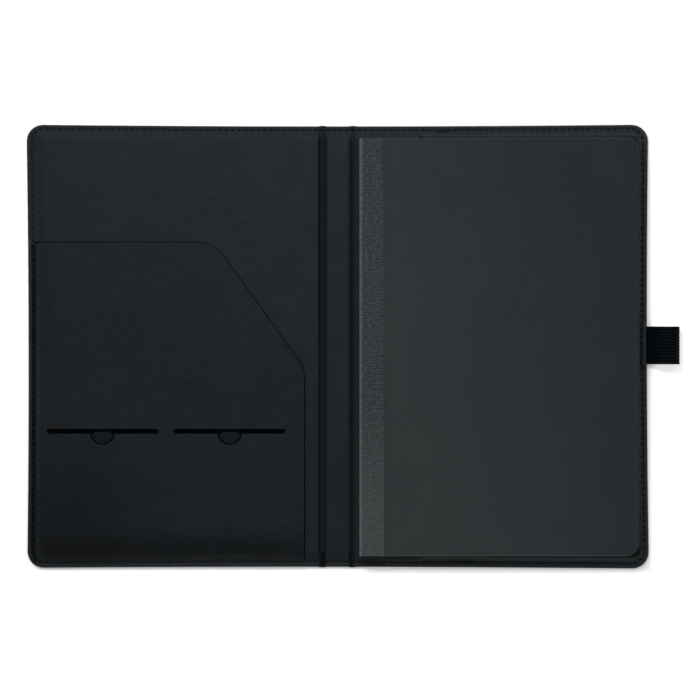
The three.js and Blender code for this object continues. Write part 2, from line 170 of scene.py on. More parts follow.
def pick_all():
    """Selects the whole piece."""
    bpy.ops.mesh.select_all(action="SELECT")


# %% Moving, stretching, extruding and rounding what is picked
def move_picked(x, y, z=0.0):
    """Moves what is picked by some millimetres."""
    bpy.ops.transform.translate(value=at(x, y, z))


def stretch_picked(x, y, z=1.0):
    """Stretches what is picked from its middle."""
    bpy.ops.transform.resize(value=(x, y, z))


def pull_out(x, y, z=0.0):
    """Extrudes what is picked by some millimetres."""
    bpy.ops.mesh.extrude_region_move(TRANSFORM_OT_translate={"value": at(x, y, z)})


def round_corners(radius, steps):
    """Bevels the picked corners round."""
    bpy.ops.mesh.bevel(affect="VERTICES", offset=radius * MM, segments=steps, profile=0.5)


# %% Cutting and scoring a whole piece
def cut_line(place, normal, **keep):
    """Bisects the whole piece with a plane, as a straight cut or a scored line."""
    pick_all()
    bpy.ops.mesh.bisect(plane_co=place, plane_no=normal, threshold=1e-7, **keep)


def score(xs=(), ys=()):
    """Scores the piece along a straight line at each x, then at each y, in millimetres."""
    for x in xs:
        cut_line(at(x, 0), (1, 0, 0))
    for y in ys:
        cut_line(at(0, y), (0, 1, 0))


# %% Modifiers, and shapes that a function gives
def finish_with(piece, kind, **settings):
    """Adds one modifier, sets it and applies it."""
    take_up(piece)
    bpy.ops.object.modifier_add(type=kind)
    modifier = piece.modifiers[-1]
    for name, value in settings.items():
        setattr(modifier, name, value)
    bpy.ops.object.modifier_apply(modifier=modifier.name)


def shape(piece, move):
    """Moves each vertex to the place that move(x, y, z) gives, all in millimetres."""
    put_down()
    for vertex in piece.data.vertices:
        vertex.co = at(*move(*(vertex.co / MM)))
    piece.data.update()


# %% [markdown]
# ## The camera
# The photograph is taken from straight above, so the camera looks down. A very long lens keeps
# the high pad from looking bigger than it is. One pixel is half a millimetre on the covers.

# %% A camera straight above
PIXEL = 0.5025
PHOTO_SIDE = 700
PHOTO_MIDDLE = (6.28, -1.71)
COVER_HEIGHT = 3.4
LENS = 500.0
SENSOR = 36.0


def put_in(name, data):
    """A new object that holds this data, put in the scene."""
    made = bpy.data.objects.new(name, data)
    bpy.context.scene.collection.objects.link(made)
    return made


camera_data = bpy.data.cameras.new("camera")
camera_data.lens = LENS
camera_data.sensor_width = SENSOR
camera_data.clip_start = 0.1
camera_data.clip_end = 50.0
camera_height = PHOTO_SIDE * PIXEL / 2 / (SENSOR / 2 / LENS)
camera = put_in("camera", camera_data)
camera.location = at(*PHOTO_MIDDLE, camera_height + COVER_HEIGHT)
bpy.context.scene.camera = camera
print("camera height", round(camera_height / 1000, 3), "m")

# %% [markdown]
# ## The floor, the lamps and the sky
# A white floor that keeps its shadow: it is lit as any matt board is, and a little light that only
# the camera sees lifts it to white, more of it a few millimetres away from the folio, so that the
# shadow stays narrow. One lamp stands at the upper left, as the shadow on the right and below
# tells. It has a filter against glare, so it gives no gloss. A second lamp hangs over the top edge
# and only gives the cloth its sheen. The walls of the room are brighter than its ceiling, and the
# wall with the window, beyond the top edge, is the brightest.

# %% Nodes, made and joined
def new_material(name):
    """A material with its nodes and its shader."""
    material = bpy.data.materials.new(name)
    material.use_nodes = True
    return material, material.node_tree, material.node_tree.nodes["Principled BSDF"]


def set_inputs(tree, node, inputs):
    """Gives a node's inputs plain values, or joins other nodes' outputs to them."""
    for name, value in inputs.items():
        if isinstance(value, bpy.types.NodeSocket):
            tree.links.new(value, node.inputs[name])
        else:
            node.inputs[name].default_value = value


def add_node(tree, kind, inputs=None, **settings):
    """A node with its settings and its inputs."""
    node = tree.nodes.new(kind)
    for name, value in settings.items():
        setattr(node, name, value)
    set_inputs(tree, node, inputs or {})
    return node


# %% Three nodes that are used most
def maths(tree, operation, *values):
    """What a Math node makes of its values, each a number or another node's output."""
    inputs = dict(enumerate(values))
    return add_node(tree, "ShaderNodeMath", inputs, operation=operation).outputs[0]


def axes_of(tree, place):
    """The X, Y and Z of a place, each as an output."""
    return add_node(tree, "ShaderNodeSeparateXYZ", {"Vector": place}).outputs


def between(tree, fac, low, high, start=0.35, end=0.65):
    """A number that goes from low to high as a pattern goes from start to end."""
    inputs = {"Value": fac, "From Min": start, "From Max": end, "To Min": low, "To Max": high}
    return add_node(tree, "ShaderNodeMapRange", inputs).outputs["Result"]


# %% The floor
FLOOR_COLOUR = (0.86, 0.86, 0.86, 1.0)
FLOOR_SIDE, FLOOR_DROP = 14.0, 0.00005
WHITE = (1, 1, 1, 1)
NEAR_LIFT, FAR_LIFT = 0.22, 0.56
LIFT_START, LIFT_END = 1.0, 5.0
put_down()
bpy.ops.mesh.primitive_plane_add(size=FLOOR_SIDE, location=(0, 0, -FLOOR_DROP))
floor = bpy.context.object
floor.name = "floor"
floor_material, tree, shader = new_material("white_floor")
tree.nodes.remove(shader)
ray = add_node(tree, "ShaderNodeLightPath").outputs
seen = maths(tree, "MAXIMUM", ray["Is Camera Ray"], ray["Is Glossy Ray"])
aside = axes_of(tree, add_node(tree, "ShaderNodeTexCoord").outputs["Object"])
past_side = maths(tree, "ADD", maths(tree, "ABSOLUTE", aside["X"]), -EDGE_X * MM)
past_end = maths(tree, "ADD", maths(tree, "ABSOLUTE", aside["Y"]), -EDGE_Y * MM)
lift = between(tree, maths(tree, "MAXIMUM", past_side, past_end), NEAR_LIFT, FAR_LIFT,
               LIFT_START * MM, LIFT_END * MM)
matt = add_node(tree, "ShaderNodeBsdfDiffuse", {"Color": FLOOR_COLOUR})
glow = add_node(tree, "ShaderNodeEmission", {
    "Color": WHITE, "Strength": maths(tree, "MULTIPLY", seen, lift)})
both = add_node(tree, "ShaderNodeAddShader", {0: matt.outputs[0], 1: glow.outputs[0]})
set_inputs(tree, tree.nodes["Material Output"], {"Surface": both.outputs[0]})
floor.data.materials.append(floor_material)

# %% The sky
CEILING = 0.22
WALLS = 0.5
WINDOW_SIDE = 0.5
world = bpy.data.worlds.new("sky")
bpy.context.scene.world = world
world.use_nodes = True
tree = world.node_tree
ray = add_node(tree, "ShaderNodeLightPath").outputs
seen = maths(tree, "MAXIMUM", ray["Is Camera Ray"], ray["Is Transmission Ray"])
direction = axes_of(tree, add_node(tree, "ShaderNodeTexCoord").outputs["Generated"])
north = maths(tree, "MAXIMUM", direction["Y"], 0.0)
room = maths(tree, "MULTIPLY_ADD", direction["Z"], -WALLS, CEILING + WALLS)
glow = maths(tree, "MULTIPLY_ADD", north, WINDOW_SIDE, room)
set_inputs(tree, tree.nodes["Background"], {
    "Color": WHITE, "Strength": maths(tree, "MAXIMUM", glow, seen)})


# %% The lamps
def add_lamp(name, place, wide, high, power):
    """A soft lamp that looks at the folio."""
    data = bpy.data.lights.new(name, "AREA")
    data.shape = "RECTANGLE"
    data.size = wide
    data.size_y = high
    data.energy = power
    lamp = put_in(name, data)
    lamp.location = place
    lamp.rotation_euler = (-Vector(place)).to_track_quat("-Z", "Y").to_euler()
    lamp.visible_camera = False
    return lamp


window_lamp = add_lamp("window_lamp", place=(-0.45, 0.82, 1.12), wide=0.5, high=0.5, power=14.4)
window_lamp.visible_glossy = False
sheen_lamp = add_lamp("sheen_lamp", place=(0.1, 0.3, 0.75), wide=0.32, high=0.2, power=1.5)
sheen_lamp.visible_diffuse = False
bpy.context.scene.view_settings.view_transform = "Standard"

# %% [markdown]
# ## Patterns that stay on the cloth
# A cloth that bends carries its grain with it. So each piece that bends keeps the place that every
# vertex has while the folio lies flat, and its material reads that instead of the space around it.

# %% The place attribute, and how a material reads it
def keep_place(piece, where=None):
    """Writes on each vertex the place that its pattern follows: its own at rest, or where(it)."""
    places = piece.data.attributes.new("flat_place", "FLOAT_VECTOR", "POINT")
    for vertex, place in zip(piece.data.vertices, places.data):
        place.vector = where(vertex.co) if where else vertex.co


def place_of(tree, carried):
    """The output that a pattern starts from: the kept place, or the object's own space."""
    if carried:
        return add_node(tree, "ShaderNodeAttribute", attribute_name="flat_place").outputs["Vector"]
    return add_node(tree, "ShaderNodeTexCoord").outputs["Object"]


def stretched(tree, place, scale):
    """The same place scaled in its three directions, for a pattern that is longer one way."""
    return add_node(tree, "ShaderNodeMapping", {"Vector": place, "Scale": scale}).outputs["Vector"]


# %% Clouds, waves, mixed colours and relief
def noise(tree, place, size, detail=2.0, roughness=0.5):
    """A cloudy pattern whose spots are about size millimetres."""
    inputs = {"Vector": place, "Scale": 1 / (size * MM), "Detail": detail, "Roughness": roughness}
    return add_node(tree, "ShaderNodeTexNoise", inputs).outputs["Fac"]


def waves(tree, place, direction, scale, wobble, more=None):
    """Fine threads or ribs that follow each other in one direction."""
    inputs = {"Vector": place, "Scale": scale, "Distortion": wobble, **(more or {})}
    return add_node(tree, "ShaderNodeTexWave", inputs, bands_direction=direction).outputs["Fac"]


def mix_colour(tree, fac, dark, light):
    """A colour between two, by a pattern."""
    ramp = add_node(tree, "ShaderNodeMix", data_type="RGBA")
    tree.links.new(fac, ramp.inputs["Factor"])
    for socket, colour in zip([s for s in ramp.inputs if s.type == "RGBA"], (dark, light)):
        if isinstance(colour, bpy.types.NodeSocket):
            tree.links.new(colour, socket)
        else:
            socket.default_value = (*colour, 1.0)
    return [s for s in ramp.outputs if s.type == "RGBA"][0]


def bump(tree, height, depth, normal=None):
    """A surface relief of some depth, in millimetres, laid over another one."""
    inputs = {"Height": height, "Distance": depth * MM, "Strength": 1.0}
    if normal is not None:
        inputs["Normal"] = normal
    return add_node(tree, "ShaderNodeBump", inputs).outputs["Normal"]


# %% [markdown]
# ## Painted shade and light
# The cloth is painted darker where shade falls: in the grooves, in the creases beside the seam,
# where the grooves run out, at the sleeve's ends and towards the lower left corner, and paler on the
# rim beside the pad, against the pad's shadow. Each is a mask: a number that is 1 there and 0
# elsewhere.

# %% Soft bands across the cloth
def near_line(tree, place, middle, full, none):
    """1 within full of a line at x = middle and 0 beyond none, in millimetres."""
    off = maths(tree, "ADD", axes_of(tree, place)["X"], -middle * MM)
    return between(tree, maths(tree, "ABSOLUTE", off), 1.0, 0.0, full * MM, none * MM)


def below_line(tree, place, full, none):
    """1 below y = full and 0 above y = none, in millimetres."""
    return between(tree, axes_of(tree, place)["Y"], 1.0, 0.0, full * MM, none * MM)


# %% Painted shade in the grooves and creases
def painted_groove_shade(tree, place):
    """1 in the bottom of the two grooves, for painted shade there: darker, duller cloth."""
    front = near_line(tree, place, -HINGE - 0.1, 1.4, 2.3)
    rear = near_line(tree, place, HINGE + 0.2, 0.3, 2.2)
    return maths(tree, "MAXIMUM", front, rear)


def painted_seam_shade(tree, place):
    """1 in the crease of the left seam, as far up as the pocket is sewn in, for painted shade."""
    pocket_top = node_box("document_pocket")[1].y
    beside = near_line(tree, place, -EDGE_X + 3.0, 0.2, 1.7)
    return maths(tree, "MULTIPLY", beside, below_line(tree, place, pocket_top - 2, pocket_top))


def painted_groove_end_shade(tree, place):
    """1 where the two grooves run out over the lower edge, for painted shade in that hollow."""
    front = near_line(tree, place, -HINGE + 0.3, 0.9, 1.7)
    rear = near_line(tree, place, HINGE - 1.1, 0.5, 1.3)
    low = below_line(tree, place, 6.0 - EDGE_Y, 8.5 - EDGE_Y)
    return maths(tree, "MULTIPLY", maths(tree, "MAXIMUM", front, rear), low)


def painted_sleeve_end_shade(tree, place):
    """0.5 on the sleeve's lower end and 0.3 on its upper one, where the pad keeps the light off."""
    spot = axes_of(tree, place)
    high = between(tree, spot["Z"], 0.0, 1.0, 3.5 * MM, 4.2 * MM)
    low_end = between(tree, spot["Y"], 0.5, 0.0, -100 * MM, -90 * MM)
    top_end = between(tree, spot["Y"], 0.0, 0.3, 90 * MM, 100 * MM)
    return maths(tree, "MULTIPLY", maths(tree, "ADD", low_end, top_end), high)


# %% Painted shade in a corner, and painted light on the rim
def painted_corner_shade(tree, place):
    """1 in the cover's lower left corner and 0 around it: painted shade where the light falls off.
    """
    inputs = {0: place, 1: at(-EDGE_X + 22, -EDGE_Y + 26)}
    away = add_node(tree, "ShaderNodeVectorMath", inputs, operation="DISTANCE").outputs["Value"]
    return between(tree, away, 1.0, 0.0, 6 * MM, 48 * MM)


def painted_rim_light(tree, place):
    """1 on the rim beside the pad, to the right and below: painted light against the pad's shadow
    there.
    """
    right = near_line(tree, place, EDGE_X - 1.6, 2.0, 2.7)
    low = below_line(tree, place, 3.3 - EDGE_Y, 4.2 - EDGE_Y)
    under_pad = between(tree, axes_of(tree, place)["X"], 0.0, 1.0, 12 * MM, 25 * MM)
    return maths(tree, "MAXIMUM", right, maths(tree, "MULTIPLY", low, under_pad))


# %% [markdown]
# ## The coated cloth
# The folio is covered in a matt black cloth with a thin plastic coat. It has a fine pebbled grain,
# broad soft clouds where it was pressed more or less, and a faint sheen. The same recipe serves
# the outer cloth, with a coarser grain, and the smoother lining and pocket. The masks are laid
# over the clouds one after the other: speckle, painted shade, then painted light on the rim.

# %% The recipe of coated cloth
COOL_SHEEN = (0.78, 0.9, 1.0, 1.0)
# Factors for the speckle, the painted shade in the corner and the creases, and the painted light on
# the rim.
SPECKLED, CORNER_SHADE, CREASE_SHADE, RIM_LIGHT = 1.5, 0.62, 0.35, 1.9


def toned(colour, factor):
    """A colour made lighter or darker by a factor."""
    return tuple(factor * part for part in colour)


def coated_cloth(name, dark, light, grain, depth, gloss, specular, tint=COOL_SHEEN):
    """A matt coated cloth: pebbled grain in millimetres, clouds of tone, painted shade and light."""
    material, tree, shader = new_material(name)
    place = place_of(tree, carried=True)
    clouds = noise(tree, place, 26.0, 4.0, 0.62)
    blots = noise(tree, place, 6.0, 2.0, 0.55)
    fine = noise(tree, place, grain * 2.2, 3.0, 0.6)
    mottle = maths(tree, "ADD", clouds, blots)
    tone = mix_colour(tree, between(tree, mottle, 0.0, 1.0, 0.75, 1.25), dark, light)
    speck = between(tree, fine, 0.0, 0.55, 0.45, 0.8)
    # Painted shade: the cloth is darkened in the grooves, in the seam's crease, where the grooves
    # run out and at the sleeve's ends.
    groove_shade = painted_groove_shade(tree, place)
    painted_crease_shade = maths(tree, "MAXIMUM", painted_seam_shade(tree, place), painted_groove_end_shade(tree, place))
    painted_crease_shade = maths(tree, "MAXIMUM", painted_crease_shade, painted_sleeve_end_shade(tree, place))
    # Over the clouds: speckle, painted shade in the grooves, the corner and the creases, painted
    # light on the rim.
    for mask, colour in ((speck, toned(light, SPECKLED)), (groove_shade, dark),
                         (painted_corner_shade(tree, place), toned(dark, CORNER_SHADE)),
                         (painted_crease_shade, toned(dark, CREASE_SHADE)),
                         (painted_rim_light(tree, place), toned(light, RIM_LIGHT))):
        tone = mix_colour(tree, mask, tone, colour)
    inputs = {"Vector": place, "Scale": 1 / (grain * MM), "Randomness": 0.9}
    pebbles = add_node(tree, "ShaderNodeTexVoronoi", inputs, feature="SMOOTH_F1").outputs["Distance"]
    # Painted shade also lowers the sheen in the grooves and the creases.
    shine = between(tree, groove_shade, specular, specular * 0.6, 0.0, 1.0)
    dimmed = between(tree, painted_crease_shade, 1.0, 0.45, 0.0, 1.0)
    set_inputs(tree, shader, {
        "Base Color": tone,
        "Normal": bump(tree, mottle, 0.16, bump(tree, pebbles, -depth)),
        "Roughness": between(tree, fine, gloss - 0.07, gloss + 0.08, 0.3, 0.7),
        "Specular IOR Level": maths(tree, "MULTIPLY", shine, dimmed),
        "Specular Tint": tint})
    return material


# %% Three grades of it
# The outer cloth is coloured lighter than the lining: painted light for the sheen and the white
# floor's reflection on its roll.
outer_cloth = coated_cloth(
    "outer_cloth", dark=(0.0096, 0.0113, 0.0127), light=(0.0117, 0.0138, 0.0155),
    grain=0.55, depth=0.05, gloss=0.54, specular=0.19)
lining_cloth = coated_cloth(
    "lining_cloth", dark=(0.0073, 0.0086, 0.0097), light=(0.0098, 0.0115, 0.0129),
    grain=0.32, depth=0.012, gloss=0.49, specular=0.18)
pocket_cloth = coated_cloth(
    "pocket_cloth", dark=(0.0061, 0.0073, 0.0083), light=(0.0084, 0.0099, 0.0112),
    grain=0.32, depth=0.012, gloss=0.49, specular=0.17)

# %% [markdown]
# ## The seam that holds it all
# One line of stitches runs round the folio, a little inside its edge. It is a little nearer to the
# top edge than to the bottom one, and it steps inwards where it crosses the pen loop's elastic.
# Everything near the edge follows this line, so its course is worked out first.

# %% The course of the seam
SEAM = 2.4
STITCH_PITCH = 3.2
LOOP_LOW, LOOP_HIGH = node_box("pen_loop")
LOOP_Y = (LOOP_LOW.y + LOOP_HIGH.y) / 2
LOOP_HALF = (LOOP_HIGH.y - LOOP_LOW.y) / 2
seam_radius = CORNER - SEAM
seam_top = EDGE_Y - SEAM - seam_radius
seam_side = EDGE_X - SEAM - seam_radius
turn_run = seam_radius * math.pi / 2
half_seam = 2 * seam_side + 2 * turn_run + 2 * seam_top
stitch_count = round(half_seam / STITCH_PITCH)
pitch = half_seam / stitch_count
print("half the seam is", round(half_seam, 1), "mm long and has", stitch_count, "stitches")


def seam_spot(run):
    """(x, y, heading) at a distance along the right half of the seam, from the spine's top."""
    if run < seam_side:
        return run, EDGE_Y - SEAM, 0.0
    run -= seam_side
    if run < turn_run:
        angle = run / seam_radius
        return (seam_side + seam_radius * math.sin(angle), seam_top + seam_radius * math.cos(angle),
                -angle)
    run -= turn_run
    if run < 2 * seam_top:
        return EDGE_X - SEAM, seam_top - run, -math.pi / 2
    run -= 2 * seam_top
    if run < turn_run:
        angle = run / seam_radius
        return (seam_side + seam_radius * math.cos(angle), -seam_top - seam_radius * math.sin(angle),
                -math.pi / 2 - angle)
    return seam_side - (run - turn_run), SEAM - EDGE_Y, -math.pi


def seam_run(x, y):
    """How far along the seam a place near it lies, counted from the spine's top."""
    across = abs(x) - seam_side
    above = abs(y) - seam_top
    if above <= 0:
        return seam_side + turn_run + (seam_top - y)
    run = abs(x) if across < 0 else seam_side + seam_radius * math.atan2(across, above)
    return run if y > 0 else half_seam - run


# %% [markdown]
# ## Edges that aren't dead straight
# Sewn cloth pulls in a little along its sides and at the spine. One function moves a place from
# the drawn outline to where the sewn cloth really lies. All the cloth pieces and the stitches use
# it, so they stay together.

# %% How the sewn edge settles
def by_loop(y, soft=2.5):
    """1 over the pen loop's elastic and 0 away from it."""
    return 1 - rise(abs(y - LOOP_Y), LOOP_HALF, LOOP_HALF + soft)


def settle(x, y):
    """Where a place of the flat drawing lies after sewing."""
    inset = inset_of(x, y)
    edge_part = 1 - rise(inset, 2.9, 6.6)
    seam_part = hump(inset, SEAM, 1.4)
    side = math.copysign(1.0, x)
    end = math.copysign(1.0, y)
    up = y / EDGE_Y
    bow_x = -0.03 - 0.2 * side * up + 0.86 * up * up
    squeezed = hump(abs(abs(x) - HINGE), 0.0, 2.6)
    bow_y = -0.08 + (0.72 + 0.17 * end) * (x / EDGE_X) ** 2 + 0.26 * squeezed
    if x < 0:
        bow_x -= 0.16
    elif y < 0:
        bow_y += 0.35 * x / EDGE_X
    new_x = x + side * (bow_x * rise(abs(x), 110, 150) * edge_part - 0.15 * seam_part)
    new_y = y + 0.2 * seam_part + end * bow_y * rise(abs(y), 84, 106) * edge_part
    if x > 0:
        new_x -= 0.55 * by_loop(y, 4.0) * hump(inset, SEAM, 1.0)
    return new_x, new_y


def stitch_phase(x, y):
    """1 in the middle of a stitch and 0 at the holes between two stitches."""
    return 0.5 - 0.5 * math.cos(2 * math.pi * seam_run(x, y) / pitch)


# %% [markdown]
# ## A sheet with fine steps round its edge
# Cloth that is puckered by stitches needs many vertices near the edge and few elsewhere. So each
# sheet starts as a plane whose corners are bevelled round and whose sides are subdivided. Then it
# is inset again and again, which gives rings that run parallel to the edge, also round corners.

# %% The outline and its rings
CORNER_STEPS = 16
LONG_CUTS, SHORT_CUTS = 18, 16


def flat_face(name, width, height, middle=(0.0, 0.0, 0.0)):
    """One flat face of a size and at a place in millimetres, left in edit mode."""
    put_down()
    bpy.ops.mesh.primitive_plane_add(size=1.0, location=(0, 0, 0))
    face = bpy.context.object
    face.name = name
    bpy.ops.object.mode_set(mode="EDIT")
    stretch_picked(width * MM, height * MM)
    move_picked(*middle)
    return face


def ringed_sheet(name, insets):
    """A sheet with a ring at each distance inside the folio's outline, left in edit mode."""
    wide, high = EDGE_X - insets[0], EDGE_Y - insets[0]
    sheet = flat_face(name, 2 * wide, 2 * high)
    bpy.ops.mesh.select_mode(type="VERT")
    pick_all()
    round_corners(CORNER - insets[0], CORNER_STEPS)
    for cuts, on_side in ((LONG_CUTS, lambda p, edge: abs(p.y) > high - 0.01),
                          (SHORT_CUTS, lambda p, edge: abs(p.x) > wide - 0.01)):
        for _ in range(2):
            pick("EDGE", on_side)
            bpy.ops.mesh.subdivide(number_cuts=cuts)
    bpy.ops.mesh.select_mode(type="FACE")
    pick_all()
    for before, after in zip(insets, insets[1:]):
        bpy.ops.mesh.inset(thickness=(after - before) * MM, depth=0)
    return sheet


# %% Lines along the folds, and the cut at the spine
FOLD_LINES = [0.35, 0.7, 1.0, 1.35, 1.7, 2.0, 2.3, 2.6, 2.9, 3.2, 3.5]


def score_folds():
    """Scores a line on both hinge lines, and lines at each distance to both sides of them."""
    for hinge in (-HINGE, HINGE):
        score(xs=[hinge])
        for distance in FOLD_LINES:
            score(xs=[hinge + distance, hinge - distance])


def split_at_spine(sheet, names):
    """Two closed pieces that meet in the middle of the spine: the front half and the back half."""
    halves = []
    for name, keep in zip(names, ({"clear_outer": True}, {"clear_inner": True})):
        take_up(sheet)
        bpy.ops.object.duplicate()
        half = bpy.context.object
        half.name = name
        half.data.name = name
        take_up(half, edit=True)
        cut_line(at(0, 0), (1, 0, 0), use_fill=True, **keep)
        pick_all()
        bpy.ops.mesh.fill_holes(sides=0)
        put_down()
        halves.append(half)
    bpy.data.objects.remove(sheet)
    return halves


# %% [markdown]
# ## Cloth that crosses the folds
# The spine and each cover are three stiff bodies, and the cloth bends in the two grooves between
# them. A piece can bend between two bodies only, so each cloth is in two halves that meet in the
# middle of the stiff spine, where nothing moves.


def bend_in_groove(piece):
    """Bakes the piece's transform into its mesh."""
    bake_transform(piece)


# %% Shading and material of a piece
def coat(piece, material):
    """Gives a piece one material all over."""
    piece.data.materials.clear()
    piece.data.materials.append(material)


def dress(piece, material, crisp=42, where=None):
    """Smooth shading with crisp folds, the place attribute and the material."""
    take_up(piece)
    bpy.ops.object.shade_smooth_by_angle(angle=math.radians(crisp))
    keep_place(piece, where)
    coat(piece, material)


# %% [markdown]
# ## How thick the edge is
# Where the pocket is sewn in, the edge is one cloth thicker, and where the elastic goes in, it
# stands up over two plies of band.

# %% The extra height of the edge
POCKET_HIGH = node_box("document_pocket")[1]


def in_pocket(x, y):
    """1 where the pocket panel lies and 0 away from it, along the sewn edge."""
    past_right = rise(x, POCKET_HIGH.x - 1, POCKET_HIGH.x + 1)
    past_top = rise(y, POCKET_HIGH.y - 1, POCKET_HIGH.y + 1)
    return (1 - past_right) * (1 - past_top)


def over_elastic(x, y):
    """1 where the sewn edge goes over the pen loop's elastic."""
    return by_loop(y) if x > 0 else 0.0


# %% [markdown]
# ## The outer cloth
# The cloth that one sees when the folio is closed. It lies flat on the table, turns up round the
# edge in a soft roll and goes under the seam. On its outside a shallow channel marks each hinge,
# and the stitches lie in a small dip. Two ringed sheets, one for the underside and one for the
# roll, share their outer edge, are merged there, and get their thickness from Solidify.

# %% Sections of the outer cloth
SKIN = 0.5
UNDER = [(0.0, 0.72), (0.12, 0.36), (0.4, 0.1), (0.8, 0.0), (1.6, 0.0), (2.1, 0.12), (2.4, 0.24),
         (2.7, 0.12), (3.2, 0.0), (4.0, 0.0)]
ROLL = [(0.0, 0.72), (0.1, 1.08), (0.28, 1.38), (0.55, 1.56), (0.9, 1.64), (1.25, 1.67),
        (1.55, 1.66), (1.8, 1.6), (1.95, 1.42), (2.1, 1.15)]


def channel(x):
    """1 along a hinge line, fading out across the groove."""
    return hump(min(abs(x - HINGE), abs(x + HINGE)), 0.0, 2.3)


def underside(x, y, z):
    """Where a place of the flat sheet lies on the folio's underside."""
    inset = inset_of(x, y)
    height = section(inset, UNDER)
    height += 0.22 * channel(x) * rise(inset, 0.4, 2.5)
    height += 0.06 * stitch_phase(x, y) * hump(inset, SEAM, 0.6)
    return (*settle(x, y), height)


def edge_roll(x, y, z):
    """Where a place of the flat sheet lies on the roll round the folio's edge."""
    inset = inset_of(x, y)
    height = section(inset, ROLL)
    climb = rise(inset, 0.0, 0.5)
    height += climb * (0.5 * in_pocket(x, y) + 1.45 * over_elastic(x, y))
    height -= climb * (0.6 * channel(x) + 0.16 * stitch_phase(x, y) * rise(inset, 0.6, 1.6))
    height += 0.05 * climb * math.sin(x * 0.31 + y * 0.23)
    return (*settle(x, y), height)


# %% The outer cloth, made as one sheet
def join_up(pieces, name):
    """Joins pieces into the first one, and names it."""
    put_down()
    for piece in pieces:
        piece.select_set(True)
    bpy.context.view_layer.objects.active = pieces[0]
    bpy.ops.object.join()
    pieces[0].name = name
    pieces[0].data.name = name
    return pieces[0]


under_sheet = ringed_sheet("under_sheet", [distance for distance, _ in UNDER])
score_folds()
shape(under_sheet, underside)
roll_sheet = ringed_sheet("roll_sheet", [distance for distance, _ in ROLL])
bpy.ops.mesh.delete(type="FACE")
score_folds()
shape(roll_sheet, edge_roll)
outer_sheet = join_up([under_sheet, roll_sheet], "outer_sheet")
take_up(outer_sheet, edit=True)
pick_all()
bpy.ops.mesh.remove_doubles(threshold=1e-6)
bpy.ops.mesh.normals_make_consistent(inside=False)
finish_with(outer_sheet, "SOLIDIFY", thickness=SKIN * MM, offset=-1.0)

# %% The outer cloth, split and dressed
outer_front, outer_back = split_at_spine(outer_sheet, ("outer_cloth_front", "outer_cloth_back"))
for piece, cover in ((outer_front, "front_cover"), (outer_back, "back_cover")):
    dress(piece, outer_cloth)
    bend_in_groove(piece)
    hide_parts(cover.replace("_cover", "_outer_skin"), "spine_outer_skin")
    print(piece.name, "has", len(piece.data.polygons), "faces")

# %% [markdown]
# ## The lining
# The lining is glued over the greyboards, pressed down into the two grooves, and sewn in at the
# edge. On the right cover it stands up over the pad's own board, and a long slit lets that board
# in. It is cut from one flat ringed sheet, scored along the grooves, and pressed over the boards
# by a function that knows the height of what lies below.

# %% Heights under the lining
FLANGE = 1.6
PLATEAU = node_box("front_lining")[1].z
SLEEVE = node_box("back_lining")[1].z
SLIT_LEFT, SLIT_RIGHT = 40.65, 43.5
SLIT_LOW, SLIT_HIGH = -105.5, 105.5
GROOVE_FLOOR = 1.2
FLAT_EDGE = [(1.95, -0.12), (2.1, -0.05), (2.6, -0.02), (2.9, 0.04), (3.2, 0.02), (3.5, 0.0)]
BOARD_SLOPE = [(2.8, 0.0), (3.2, 0.06), (3.7, 0.2), (5.7, 0.82), (6.2, 0.93), (6.7, 0.98),
               (7.3, 1.0)]
TUNNEL = [(1.95, 1.56), (2.2, 1.5), (2.4, 1.22), (2.6, 1.3), (3.1, 1.1), (3.4, 0.0)]
LINING_RINGS = [1.95, 2.1, 2.25, 2.4, 2.55, 2.75, 2.95, 3.1, 3.2, 3.3, 3.4, 3.5, 3.8, 4.2, 4.6,
                4.9, 5.3, 5.7, 6.1, 6.5, 6.9, 7.4]
FRONT_GROOVE = [(-2.9, 1.0), (-2.35, 0.95), (-1.95, 0.82), (-1.45, 0.53), (-1.05, 0.31),
                (-0.8, 0.23), (-0.55, 0.24), (-0.3, 0.24), (0.0, 0.17), (0.3, 0.08), (0.65, 0.04),
                (1.0, 0.08), (1.4, 0.3), (1.85, 0.65), (2.35, 0.9), (2.95, 1.0)]
REAR_GROOVE = [(-2.9, 1.0), (-2.2, 0.96), (-1.5, 0.86), (-0.9, 0.72), (-0.45, 0.6), (-0.05, 0.51),
               (0.35, 0.46), (0.75, 0.49), (1.15, 0.59), (1.7, 0.76), (2.25, 0.93), (2.85, 1.0)]


def groove_wall(x):
    """0 on the floor of a groove and 1 up on the boards. The front groove has a small ridge."""
    if x < 0:
        return section(x + HINGE, FRONT_GROOVE)
    return section(x - HINGE, REAR_GROOVE)


def facing_top(x, y):
    """1 beside the top or bottom edge, 0 beside the outer one, and between them in a corner."""
    across = abs(x) - (EDGE_X - CORNER)
    up = abs(y) - (EDGE_Y - CORNER)
    if across <= 0:
        return 1.0
    if up <= 0:
        return 0.0
    return math.atan2(up, across) / (math.pi / 2)


SLEEVE_SIDE, SLEEVE_FOOT = 30, 3.08


def on_sleeve(x, y, inset):
    """The lining's height over the pad's board, above its height at the edge."""
    end = 3.5 + 1.9 * facing_top(x, y)
    climb = min(max((inset - SLEEVE_FOOT) / (end - SLEEVE_FOOT), 0.0), 1.0)
    return (0.6 * climb + 0.4 * rise(inset, SLEEVE_FOOT, end)) * (SLEEVE - FLANGE)


